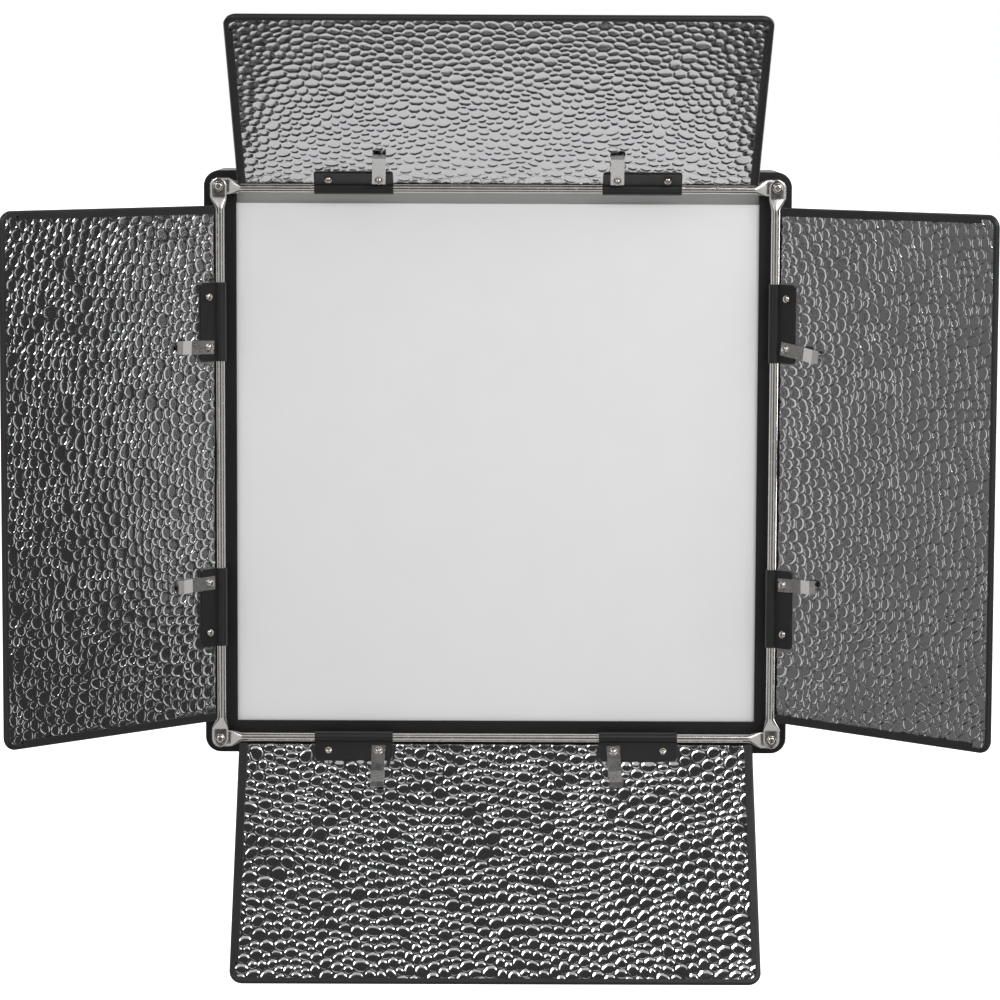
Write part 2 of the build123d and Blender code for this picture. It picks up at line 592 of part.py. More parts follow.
def door_outline(inset):
    """Door seen from the front, drawn in by the inset on its three free sides."""
    w = DOOR_W - 2 * inset
    reach = DOOR_REACH - inset
    face = Pos(0, reach / 2) * Rectangle(w, reach)
    face = fillet(face.vertices().group_by(Axis.Y)[-1], DOOR_CORNER_R - inset)
    return face & Pos(0, DOOR_START + DOOR_REACH / 2) * Rectangle(DOOR_W, DOOR_REACH)


def door_sheet():
    """Black outer sheet with its edges folded over the hammered one."""
    depth = HEM_N + SHEET_T - BACK_N
    sheet = Pos(0, 0, BACK_N) * extrude(door_outline(0), depth)
    room = extrude(door_outline(SHEET_T), HEM_N - REFLECTOR_N)
    sheet -= Pos(0, 0, REFLECTOR_N) * room
    open_face = door_outline(RIM_W)
    hem_length = DOOR_REACH - HEM_STOP
    for su in (-1, 1):
        hem = Pos(su * (DOOR_W - SIDE_HEM_W) / 2, hem_length / 2) * Rectangle(SIDE_HEM_W, hem_length)
        open_face -= hem
    return sheet - Pos(0, 0, HEM_N - 0.01) * extrude(open_face, SHEET_T + 1)


def door_reflector():
    """Hammered sheet, drawn plain at its height over the pebbles."""
    slab = Pos(0, 0, REFLECTOR_N) * extrude(door_outline(SHEET_T), EMBOSS_T)
    return slab - leaf_holes(M25_R + SCREW_CLEAR)


def leaf_holes(radius):
    """Cutters through all four screw places of a door."""
    low, high = 2 * BACK_N, LEAF_T
    return group(bar(radius, (u, LEAF_SCREW_V, low), (u, LEAF_SCREW_V, high)) for u in leaf_screw_us())


def leaf_screw_us():
    """Places of a door's four leaf screws along its rod."""
    half = LEAF_SCREW_PITCH / 2
    return [-LEAF_CENTRE - half, -LEAF_CENTRE + half, LEAF_CENTRE - half, LEAF_CENTRE + half]


def clip_us():
    """Places of a door's two clips: on the screws nearer its middle."""
    return leaf_screw_us()[1:3]


def hinge_leaf():
    """Sheet leaf rolled round the rod, drawn about U = 0."""
    inner = ROD_R + HINGE_CLEAR
    outer = inner + LEAF_T
    tail = Pos((inner + LEAF_REACH) / 2, 0) * Rectangle(LEAF_REACH - inner, LEAF_T)
    section = Circle(outer) + tail - Circle(inner)
    section -= Pos(outer, -LEAF_T / 2 - LEAF_SEAM / 2) * Rectangle(2 * LEAF_T, LEAF_SEAM)
    across = Plane(origin=(-LEAF_W / 2, 0, 0), x_dir=(0, 1, 0), z_dir=(1, 0, 0))
    leaf = extrude(across * section, LEAF_W)
    corners = leaf.edges().filter_by(Axis.Z).group_by(Axis.Y)[-1]
    leaf = fillet(corners, LEAF_CORNER_R)
    for u in (-LEAF_SCREW_PITCH / 2, LEAF_SCREW_PITCH / 2):
        leaf -= bar(M25_R + SCREW_CLEAR, (u, LEAF_SCREW_V, -LEAF_T), (u, LEAF_SCREW_V, LEAF_T))
    return leaf


def door_leaves():
    """Both leaves of a door."""
    for u in (-LEAF_CENTRE, LEAF_CENTRE):
        yield Pos(u, 0, 0) * hinge_leaf()


def door_fasteners():
    """Four screws and nuts that hold the leaves and clips to a door."""
    for i, u in enumerate(leaf_screw_us()):
        seat = CLIP_HEAD_N if u in clip_us() else LEAF_T / 2
        length = seat - BACK_N + NUT_H + SCREW_TIP
        screw = Rot(0, 0, 25 * i) * pan_screw(M25_R, M25_HEAD_R, M25_HEAD_H, length)
        yield Pos(u, LEAF_SCREW_V, seat) * screw
        yield Pos(u, LEAF_SCREW_V, BACK_N) * (nut() - bar(M25_R, (0, 0, -NUT_H - 1), (0, 0, 1)))


def gel_clip(side, u, turn):
    """Bent strip on a leaf screw: flat under the head, ramped up, then a short lip."""
    ramp, lip = radians(CLIP_RAMP_DEG[side]), radians(CLIP_LIP_DEG)
    under = [(-CLIP_TAIL, 0), (CLIP_FLAT, 0)]
    under.append((under[-1][0] + CLIP_RAMP * cos(ramp), CLIP_RAMP * sin(ramp)))
    lip_n = max(under[-1][1] + CLIP_LIP * sin(lip), 0)
    under.append((under[-1][0] + CLIP_LIP * cos(lip), lip_n))
    over = [(v, n + CLIP_T) for v, n in reversed(under)]
    across = Plane(origin=(-CLIP_W / 2, 0, 0), x_dir=(0, 1, 0), z_dir=(1, 0, 0))
    clip = extrude(across * make_face(Polyline(*under, *over, close=True)), CLIP_W)
    clip -= bar(M25_R + HINGE_CLEAR, (0, 0, -1), (0, 0, 2 * CLIP_T))
    return Pos(u, LEAF_SCREW_V, CLIP_N) * Rot(0, 0, turn) * clip


def door_pieces(side):
    """All the pieces of one door, by name, in place."""
    frame = door_plane(side).location
    names = {
        f"door_{side}_sheet": door_sheet() - leaf_holes(M25_R + SCREW_CLEAR),
        f"door_{side}_reflector": door_reflector(),
        f"door_{side}_leaves": group(door_leaves()),
        f"door_{side}_fasteners": group(door_fasteners()),
    }
    for end, u, turn in zip("ab", clip_us(), CLIP_TURN[side]):
        names[f"clip_{side}_{end}"] = gel_clip(side, u, turn)
    return {name: frame * shape for name, shape in names.items()}


# ---- Yoke and stand receiver ----

def yoke_bracket():
    """Flat-bar yoke that reaches back from the tilt pivots round the head."""
    inner, outer = ARM_X, ARM_X + YOKE_T
    far = CROSSBAR_Y
    front = PIVOT_Y - YOKE_W / 2
    path = Pos(0, (front + far) / 2) * Rectangle(2 * outer, far - front)
    path = fillet(path.vertices().group_by(Axis.Y)[-1], YOKE_BEND_R + YOKE_T)
    gap = Pos(0, (front + far - YOKE_T) / 2) * Rectangle(2 * inner, far - YOKE_T - front)
    gap = fillet(gap.vertices().group_by(Axis.Y)[-1], YOKE_BEND_R)
    flat = Plane(origin=(0, 0, -YOKE_W / 2))
    yoke = extrude(flat * (path - gap), YOKE_W)
    rounded = bar(YOKE_W / 2, (-outer - 1, PIVOT_Y, 0), (outer + 1, PIVOT_Y, 0))
    rounded += block((-outer - 1, outer + 1), (PIVOT_Y, far + 1), (-YOKE_W / 2, YOKE_W / 2))
    yoke = yoke & rounded
    yoke -= bar(STUD_R + STUD_CLEAR, (-outer - 1, PIVOT_Y, 0), (outer + 1, PIVOT_Y, 0))
    for sx in (-1, 1):
        yoke -= bar(BOLT_R + SCREW_CLEAR, (sx * FLANGE_BOLT_RING / 2, far - YOKE_T - 1, 0),
                    (sx * FLANGE_BOLT_RING / 2, far + 1, 0))
    return yoke


def lock_axis_y():
    """Y of the lock screw, which crosses the stand socket."""
    return MOUTH_Y - LOCK_FROM_MOUTH


def stand_receiver():
    """Cast receiver on the crossbar, with a blind socket for the stand spigot."""
    body = bar(RECEIVER_R, (0, CROSSBAR_Y, 0), (0, MOUTH_Y, 0))
    body = chamfer(body.edges().group_by(Axis.Y)[-1], 1.5)
    body += bar(FLANGE_R, (0, CROSSBAR_Y, 0), (0, CROSSBAR_Y + FLANGE_T, 0))
    y = lock_axis_y()
    body += bar(LOCK_BOSS_R, (0, y, 0), (LOCK_BOSS_TOP, y, 0))
    body -= bar(SOCKET_R, (0, MOUTH_Y - SOCKET_D, 0), (0, MOUTH_Y + 1, 0))
    body -= bar(STUD_R + STUD_CLEAR, (0, y, 0), (LOCK_BOSS_TOP + 1, y, 0))
    for sx in (-1, 1):
        x = sx * FLANGE_BOLT_RING / 2
        seat = CROSSBAR_Y + FLANGE_T
        body -= bar(BOLT_R + SCREW_CLEAR, (x, CROSSBAR_Y - 1, 0), (x, seat + 1, 0))
        body -= bar(BOLT_HEAD_R + BOLT_HEAD_ROOM, (x, seat, 0), (x, seat + 4 * BOLT_HEAD_H, 0))
    return body


def receiver_bolts():
    """Two bolts that hold the receiver's flange to the crossbar."""
    bolt = pan_screw(BOLT_R, BOLT_HEAD_R, BOLT_HEAD_H, FLANGE_T + YOKE_T)
    for sx in (-1, 1):
        yield Plane(origin=(sx * FLANGE_BOLT_RING / 2, CROSSBAR_Y + FLANGE_T, 0), z_dir=(0, 1, 0)) * bolt


def lock_shoe():
    """Brass shoe at the tip of the lock screw, just clear of the socket."""
    x = SOCKET_R + SHOE_SETBACK
    return bar(SHOE_R, (x, lock_axis_y(), 0), (x + SHOE_L, lock_axis_y(), 0))


def lock_stud():
    """Threaded stud behind the shoe."""
    y = lock_axis_y()
    inner = SOCKET_R + SHOE_SETBACK + SHOE_L
    return bar(STUD_R, (inner, y, 0), (LOCK_BOSS_TOP + LOCK_GAP + LOCK_KNOB_H / 2, y, 0))


def lobed_knob(radius, height, lobes):
    """Knob with hand lobes, standing on Z = 0 about the Z axis."""
    outline = Circle(radius - LOBE_R / 2)
    for i in range(lobes):
        a = 2 * pi * i / lobes
        outline += Pos((radius - LOBE_R) * cos(a), (radius - LOBE_R) * sin(a)) * Circle(LOBE_R)
    knob = extrude(outline, height)
    return fillet(knob.edges().group_by(Axis.Z)[-1], 1.5)


def lock_knob():
    """Knob of the lock screw."""
    base = LOCK_BOSS_TOP + LOCK_GAP
    knob = Plane(origin=(base, lock_axis_y(), 0), z_dir=(1, 0, 0)) * lobed_knob(LOCK_KNOB_R, LOCK_KNOB_H, 5)
    return knob - bar(STUD_R, (base - 1, lock_axis_y(), 0), (base + LOCK_KNOB_H / 2, lock_axis_y(), 0))


def tilt_knob(sx):
    """Tilt clamp knob outside a yoke arm."""
    base = ARM_X + YOKE_T + KNOB_GAP
    knob = Pos(0, 0, KNOB_HUB_H) * lobed_knob(KNOB_R, KNOB_H, KNOB_LOBES)
    knob += bar(KNOB_HUB_R, (0, 0, 0), (0, 0, KNOB_HUB_H + 1))
    knob -= bar(STUD_R, (0, 0, -1), (0, 0, KNOB_HUB_H + KNOB_H / 2))
    return Plane(origin=(sx * base, PIVOT_Y, 0), z_dir=(sx, 0, 0)) * knob


def tilt_stud(sx):
    """Stud of a tilt knob: through the yoke arm and into the head's boss."""
    outer_end = ARM_X + YOKE_T + KNOB_GAP + KNOB_HUB_H + KNOB_H / 2
    return bar(STUD_R, (sx * (HALF + BOSS_H - STUD_BITE), PIVOT_Y, 0), (sx * outer_end, PIVOT_Y, 0))


def all_pieces():
    """Every piece of the light, by name."""
    pieces = {
        "front_bezel": front_bezel(),
        "filter_rails": filter_rails(),
        "diffusion_filter": diffusion_filter(),
        "inner_diffuser": inner_diffuser(),
        "housing_shell": housing_shell(),
        "back_cover": back_cover(),
        "light_box": light_box(),
        "led_board": led_board(),
        "led_chips": group(led_chips()),
        "heat_spreader": heat_spreader(),
        "driver_board": driver_board(),
        "driver_parts": driver_parts_group(),
        "pivot_bosses": group(pivot_bosses()),
        "housing_screws": group(housing_screws()),
        "control_box": control_box(),
        "display_window": display_window(),
        "control_pots": group(control_pots()),
        "dimmer_knob": small_knob(DIMMER_X),
        "colour_knob": small_knob(COLOUR_X),
        "power_rocker": rocker(),
        "switch_body": switch_body(),
        "power_inlet": power_inlet(),
        "door_rods": group(door_rods()),
        "corner_spacers": group(corner_spacers()),
        "corner_screws": group(corner_screws()),
        "yoke_bracket": yoke_bracket(),
        "stand_receiver": stand_receiver(),
        "receiver_bolts": group(receiver_bolts()),
        "lock_shoe": lock_shoe(),
        "lock_stud": lock_stud(),
        "lock_knob": lock_knob(),
    }
    for name, sx in (("left", -1), ("right", 1)):
        pieces[f"tilt_knob_{name}"] = tilt_knob(sx)
        pieces[f"tilt_stud_{name}"] = tilt_stud(sx)
    for side in DOORS:
        pieces.update(door_pieces(side))
    return pieces


os.makedirs("parts", exist_ok=True)
for name, shape in all_pieces().items():
    export_step(TO_MOUNT * shape, f"parts/{name}.step")
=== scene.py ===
"""Visual model of an LED panel light with four barn doors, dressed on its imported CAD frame.

Lengths are in metres in the frame of the part: X to the right, Y to the back and Z up, with the
origin at the mouth of the stand socket.
"""

import json
import logging
import math
import random
from dataclasses import dataclass, field
from enum import Enum

import bmesh
import bpy
import numpy as np
from mathutils import Matrix, Vector
from mathutils.geometry import delaunay_2d_cdt

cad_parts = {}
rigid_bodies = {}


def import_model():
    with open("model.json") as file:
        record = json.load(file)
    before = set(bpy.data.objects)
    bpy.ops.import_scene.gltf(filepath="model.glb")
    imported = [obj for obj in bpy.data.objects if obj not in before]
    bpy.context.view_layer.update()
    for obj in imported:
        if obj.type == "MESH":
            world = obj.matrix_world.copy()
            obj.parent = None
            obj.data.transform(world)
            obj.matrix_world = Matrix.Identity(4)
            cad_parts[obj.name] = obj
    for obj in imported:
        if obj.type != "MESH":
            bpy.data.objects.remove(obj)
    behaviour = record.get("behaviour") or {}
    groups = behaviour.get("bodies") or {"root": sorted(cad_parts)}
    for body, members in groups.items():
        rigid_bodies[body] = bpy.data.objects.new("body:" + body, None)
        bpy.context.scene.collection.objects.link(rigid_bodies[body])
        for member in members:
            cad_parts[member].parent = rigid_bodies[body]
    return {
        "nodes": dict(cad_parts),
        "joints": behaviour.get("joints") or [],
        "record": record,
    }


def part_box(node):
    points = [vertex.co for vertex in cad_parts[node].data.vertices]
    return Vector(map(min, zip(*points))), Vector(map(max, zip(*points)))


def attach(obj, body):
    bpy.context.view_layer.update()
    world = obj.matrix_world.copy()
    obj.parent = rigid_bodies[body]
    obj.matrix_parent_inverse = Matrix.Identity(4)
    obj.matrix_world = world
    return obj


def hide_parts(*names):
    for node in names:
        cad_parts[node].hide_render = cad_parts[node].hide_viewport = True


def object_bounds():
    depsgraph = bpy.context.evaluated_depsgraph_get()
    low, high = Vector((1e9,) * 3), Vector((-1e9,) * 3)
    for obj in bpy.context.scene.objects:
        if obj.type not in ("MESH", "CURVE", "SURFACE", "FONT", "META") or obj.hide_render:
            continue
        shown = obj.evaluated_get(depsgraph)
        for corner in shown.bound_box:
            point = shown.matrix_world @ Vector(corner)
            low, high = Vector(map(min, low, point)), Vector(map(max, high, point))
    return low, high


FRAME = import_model()
CAD_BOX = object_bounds()
MM = 0.001
# Points nearer than this are one, and CAD facets that turn less than this are one face.
WELD = 1e-6
FLAT = math.radians(0.6)
LOG = logging.getLogger("panel_light")


def linear(code: str) -> tuple[float, float, float, float]:
    """Linear colour of an sRGB hex code.

    Args:
        code: six hex digits, with or without a leading hash

    Returns:
        Linear red, green and blue, and an alpha of one.
    """
    digits = code.lstrip("#")
    shares = [int(digits[i:i + 2], 16) / 255 for i in (0, 2, 4)]
    bent = [s / 12.92 if s <= 0.04045 else ((s + 0.055) / 1.055) ** 2.4 for s in shares]
    return (*bent, 1.0)


def connect(tree: bpy.types.NodeTree, node: bpy.types.Node, inputs: dict) -> None:
    """Links or sets a node's inputs.

    Args:
        tree: node tree that the node stands in
        node: the node
        inputs: by socket name or index, another node's socket to link or a value to set
    """
    for key, value in inputs.items():
        if isinstance(value, bpy.types.NodeSocket):
            tree.links.new(value, node.inputs[key])
        else:
            node.inputs[key].default_value = value


def add(tree: bpy.types.NodeTree, kind: str, settings: dict | None = None,
        inputs: dict | None = None) -> bpy.types.Node:
    """Adds a node with its settings and inputs.

    Args:
        tree: node tree that the node goes into
        kind: type of the node
        settings: properties of the node, by name
        inputs: by socket name or index, another node's socket to link or a value to set

    Returns:
        The new node.
    """
    node = tree.nodes.new(kind)
    for name, value in (settings or {}).items():
        setattr(node, name, value)
    connect(tree, node, inputs or {})
    return node


def reckon(tree: bpy.types.NodeTree, operation: str, *values: object) -> bpy.types.NodeSocket:
    """Result of a sum on sockets or plain numbers."""
    return add(tree, "ShaderNodeMath", {"operation": operation}, dict(enumerate(values))).outputs[0]


def spread(tree: bpy.types.NodeTree, value: bpy.types.NodeSocket, span: tuple[float, float],
           onto: tuple[float, float], curve: str = "LINEAR") -> bpy.types.NodeSocket:
    """Maps a value from one span onto another and holds it at both ends.

    Args:
        tree: node tree to work in
        value: the value
        span: where the value starts and ends
        onto: what those two become
        curve: how it goes from one to the other

    Returns:
        The mapped value.
    """
    return add(tree, "ShaderNodeMapRange", {"interpolation_type": curve}, {
        "Value": value, "From Min": span[0], "From Max": span[1],
        "To Min": onto[0], "To Max": onto[1]}).outputs[0]


def blend(tree: bpy.types.NodeTree, share: bpy.types.NodeSocket, one: object,
          two: object) -> bpy.types.NodeSocket:
    """Mix of two colours, with the given share of the second."""
    return add(tree, "ShaderNodeMix", {"data_type": "RGBA"}, {
        "Factor": share, 6: one, 7: two}).outputs[2]


def in_scene(name: str, data: bpy.types.ID) -> bpy.types.Object:
    """Puts a mesh, curve, light or camera into the scene.

    Args:
        name: name for the object
        data: what it shows

    Returns:
        The new object.
    """
    made = bpy.data.objects.new(name, data)
    bpy.context.scene.collection.objects.link(made)
    return made


def to_mesh(bm: bmesh.types.BMesh, name: str) -> bpy.types.Mesh:
    """Ends an edit.

    Args:
        bm: the edit, which is freed
        name: name for the mesh

    Returns:
        The new mesh.
    """
    mesh = bpy.data.meshes.new(name)
    bm.to_mesh(mesh)
    bm.free()
    return mesh


# ---- Finishes ----

# Most noise lies between these two values.
NOISE = (0.3, 0.7)


@dataclass(frozen=True)
class Surface:
    """One material in the making.

    Attributes:
        tree: the material's nodes
        shader: its Principled shader
        place: position on the part, in metres
        flat: the piece's own UV map, in metres along its surface
    """

    tree: bpy.types.NodeTree
    shader: bpy.types.Node
    place: bpy.types.NodeSocket
    flat: bpy.types.NodeSocket

    def noise(self, size_mm: float, detail: float, roughness: float = 0.5,
              distortion: float = 0.0) -> bpy.types.NodeSocket:
        """Noise over the part, with features of a size in millimetres."""
        return add(self.tree, "ShaderNodeTexNoise", None, {
            "Vector": self.place, "Scale": 1 / (size_mm * MM), "Detail": detail,
            "Roughness": roughness, "Distortion": distortion}).outputs["Fac"]

    def shade(self, colour: object, value: bpy.types.NodeSocket) -> bpy.types.NodeSocket:
        """A colour made darker or lighter by a value near one."""
        return add(self.tree, "ShaderNodeHueSaturation", None, {
            "Color": colour, "Value": value}).outputs[0]

    def relief(self, height: bpy.types.NodeSocket, depth_mm: float,
               strength: float = 0.5) -> bpy.types.NodeSocket:
        """Bump from a height between nought and one, with its depth in millimetres."""
        return add(self.tree, "ShaderNodeBump", None, {
            "Strength": strength, "Distance": depth_mm * MM, "Height": height}).outputs[0]

    def coat(self, inputs: dict[str, object]) -> None:
        """Links or sets the shader's inputs."""
        connect(self.tree, self.shader, inputs)


@dataclass(frozen=True)
class Finish:
    """A surface finish: what the piece is made of and how its surface was made."""

    name: str
    tone: str
    roughness: float = 0.45

    def material(self) -> bpy.types.Material:
        """The finish as a material, made once.

        Returns:
            The material.
        """
        made = bpy.data.materials.get(self.name)
        if made:
            return made
        made = bpy.data.materials.new(self.name)
        made.use_nodes = True
        tree = made.node_tree
        tree.nodes.clear()
        place = add(tree, "ShaderNodeTexCoord")
        shader = add(tree, "ShaderNodeBsdfPrincipled")
        add(tree, "ShaderNodeOutputMaterial", None, {"Surface": shader.outputs[0]})
        self.dress(Surface(tree, shader, place.outputs["Object"], place.outputs["UV"]))
        made.diffuse_color = linear(self.tone)
        return made

    def gloss(self, under: float, over: float) -> tuple[float, float]:
        """Lowest and highest roughness, as steps under and over the finish's own."""
        return self.roughness - under, self.roughness + over

    def dress(self, made: Surface) -> None:
        """Sets up the shader; each kind of finish does it in its own way."""
        raise NotImplementedError


@dataclass(frozen=True)
class PowderCoat(Finish):
    """Powder coat on metal: fine orange peel, faint handling marks and paint thinned at edges."""

    worn: str = "#5A5A5C"
    peel_mm: float = 0.9
    peel_depth_mm: float = 0.02
    edge_mm: float = 0.5
    cloud_mm: float = 38.0
    speck_mm: float = 0.5
    turned: tuple[float, float] = (0.985, 0.8)
    thinned: float = 0.55
    grit: float = 0.12

    def dress(self, made: Surface) -> None:
        """Orange peel as bump, cloudy sheen and lighter edges.

        Args:
            made: the material
        """
        tree = made.tree
        peel = made.noise(self.peel_mm, 2.0, 0.55)
        cloud = made.noise(self.cloud_mm, 5.0, 0.6)
        speck = made.noise(self.speck_mm, 1.0)
        eased = add(tree, "ShaderNodeBevel", {"samples": 4}, {"Radius": self.edge_mm * MM})
        face = add(tree, "ShaderNodeNewGeometry")
        turn = add(tree, "ShaderNodeVectorMath", {"operation": "DOT_PRODUCT"}, {
            0: eased.outputs[0], 1: face.outputs["Normal"]})
        edge = spread(tree, turn.outputs["Value"], self.turned, (0.0, self.thinned))
        thin = reckon(tree, "MULTIPLY", edge, cloud)
        paint = blend(tree, thin, linear(self.tone), linear(self.worn))
        grit = spread(tree, speck, NOISE, (1 - self.grit, 1 + self.grit))
        made.coat({"Base Color": made.shade(paint, grit),
                   "Roughness": spread(tree, cloud, NOISE, self.gloss(0.06, 0.07)),
                   "Normal": made.relief(peel, self.peel_depth_mm, 0.6)})


@dataclass(frozen=True)
class Metal(Finish):
    """Bare or plated metal, whose tint and gloss wander with a mottle."""

    dull: str = ""

    def polish(self, made: Surface, mottle: bpy.types.NodeSocket, gloss: tuple[float, float],
               normal: bpy.types.NodeSocket) -> None:
        """Sets up the metal.

        Args:
            made: the material
            mottle: noise that its tint and gloss follow
            gloss: lowest and highest roughness
            normal: its relief
        """
        tint = blend(made.tree, mottle, linear(self.dull or self.tone), linear(self.tone))
        made.coat({"Metallic": 1.0, "Base Color": tint,
                   "Roughness": spread(made.tree, mottle, NOISE, gloss), "Normal": normal})


@dataclass(frozen=True)
class RolledMetal(Metal):
    """Bare rolled or drawn metal: bright, with drawing lines along the piece and faint smears."""

    line_mm: float = 0.25
    run_mm: float = 7.0
    line_depth_mm: float = 0.004
    smear: float = 0.05
    smear_mm: float = 11.0

    def dress(self, made: Surface) -> None:
        """Fine lines along the piece's own U, and smears in the gloss.

        Args:
            made: the material
        """
        stretch = add(made.tree, "ShaderNodeMapping", None, {
            "Vector": made.flat, "Scale": (1 / (self.run_mm * MM), 1 / (self.line_mm * MM), 1.0)})
        lines = add(made.tree, "ShaderNodeTexNoise", None, {
            "Vector": stretch.outputs[0], "Scale": 1.0, "Detail": 3.0, "Roughness": 0.6})
        self.polish(made, made.noise(self.smear_mm, 4.0, 0.65), self.gloss(self.smear, self.smear),
                    made.relief(lines.outputs["Fac"], self.line_depth_mm, 0.6))


@dataclass(frozen=True)
class PlatedMetal(Metal):
    """Plated, turned or blackened metal: even colour with a slight mottle and tiny pits."""

    grain_mm: float = 0.6
    depth_mm: float = 0.006
    mottle_mm: float = 4.0

    def dress(self, made: Surface) -> None:
        """Mottled tint and gloss, with pits as bump."""
        self.polish(made, made.noise(self.mottle_mm, 4.0, 0.6), self.gloss(0.05, 0.06),
                    made.relief(made.noise(self.grain_mm, 3.0), self.depth_mm))


@dataclass(frozen=True)
class Moulding(Finish):
    """Moulded plastic: spark-eroded grain, slight flow clouding and rubbed high spots."""

    grain_mm: float = 0.45
    depth_mm: float = 0.012
    clouding: float = 0.06
    cloud_mm: float = 26.0
    ior: float = 1.49

    def dress(self, made: Surface) -> None:
        """Grain as bump; clouding in colour and gloss.

        Args:
            made: the material
        """
        grain = made.noise(self.grain_mm, 3.0, 0.7)
        cloud = made.noise(self.cloud_mm, 4.0)
        value = spread(made.tree, cloud, NOISE, (1 - self.clouding, 1 + self.clouding))
        made.coat({"IOR": self.ior, "Base Color": made.shade(linear(self.tone), value),
                   "Roughness": spread(made.tree, grain, NOISE, self.gloss(0.05, 0.07)),
                   "Normal": made.relief(grain, self.depth_mm)})


@dataclass(frozen=True)
class ClearPane(Finish):
    """Clear cast acrylic, faintly smoked, with fingerprints in the gloss."""

    smear_mm: float = 9.0
    clearness: float = 0.85
    ior: float = 1.49

    def dress(self, made: Surface) -> None:
        """Transmission with smeared roughness."""
        smear = made.noise(self.smear_mm, 5.0, distortion=0.8)
        made.coat({"Base Color": linear(self.tone), "Transmission Weight": self.clearness,
                   "IOR": self.ior,
                   "Roughness": spread(made.tree, smear, (0.4, 0.75), self.gloss(0.0, 0.12))})


@dataclass(frozen=True)
class CircuitBoard(Finish):
    """Glass-epoxy board under solder mask, with tracks standing slightly proud."""

    track: str = "#2F7A4C"
    pitch_mm: float = 2.5
    track_mm: float = 0.03

    def dress(self, made: Surface) -> None:
        """Tracks from the borders of square cells.

        Args:
            made: the material
        """
        cells = add(made.tree, "ShaderNodeTexVoronoi", {"distance": "MANHATTAN", "feature": "F1"}, {
            "Vector": made.place, "Scale": 1 / (self.pitch_mm * MM)})
        lines = spread(made.tree, cells.outputs["Distance"], (0.42, 0.5), (0.0, 1.0))
        made.coat({"Roughness": self.roughness,
                   "Base Color": blend(made.tree, lines, linear(self.tone), linear(self.track)),
                   "Normal": made.relief(lines, self.track_mm)})


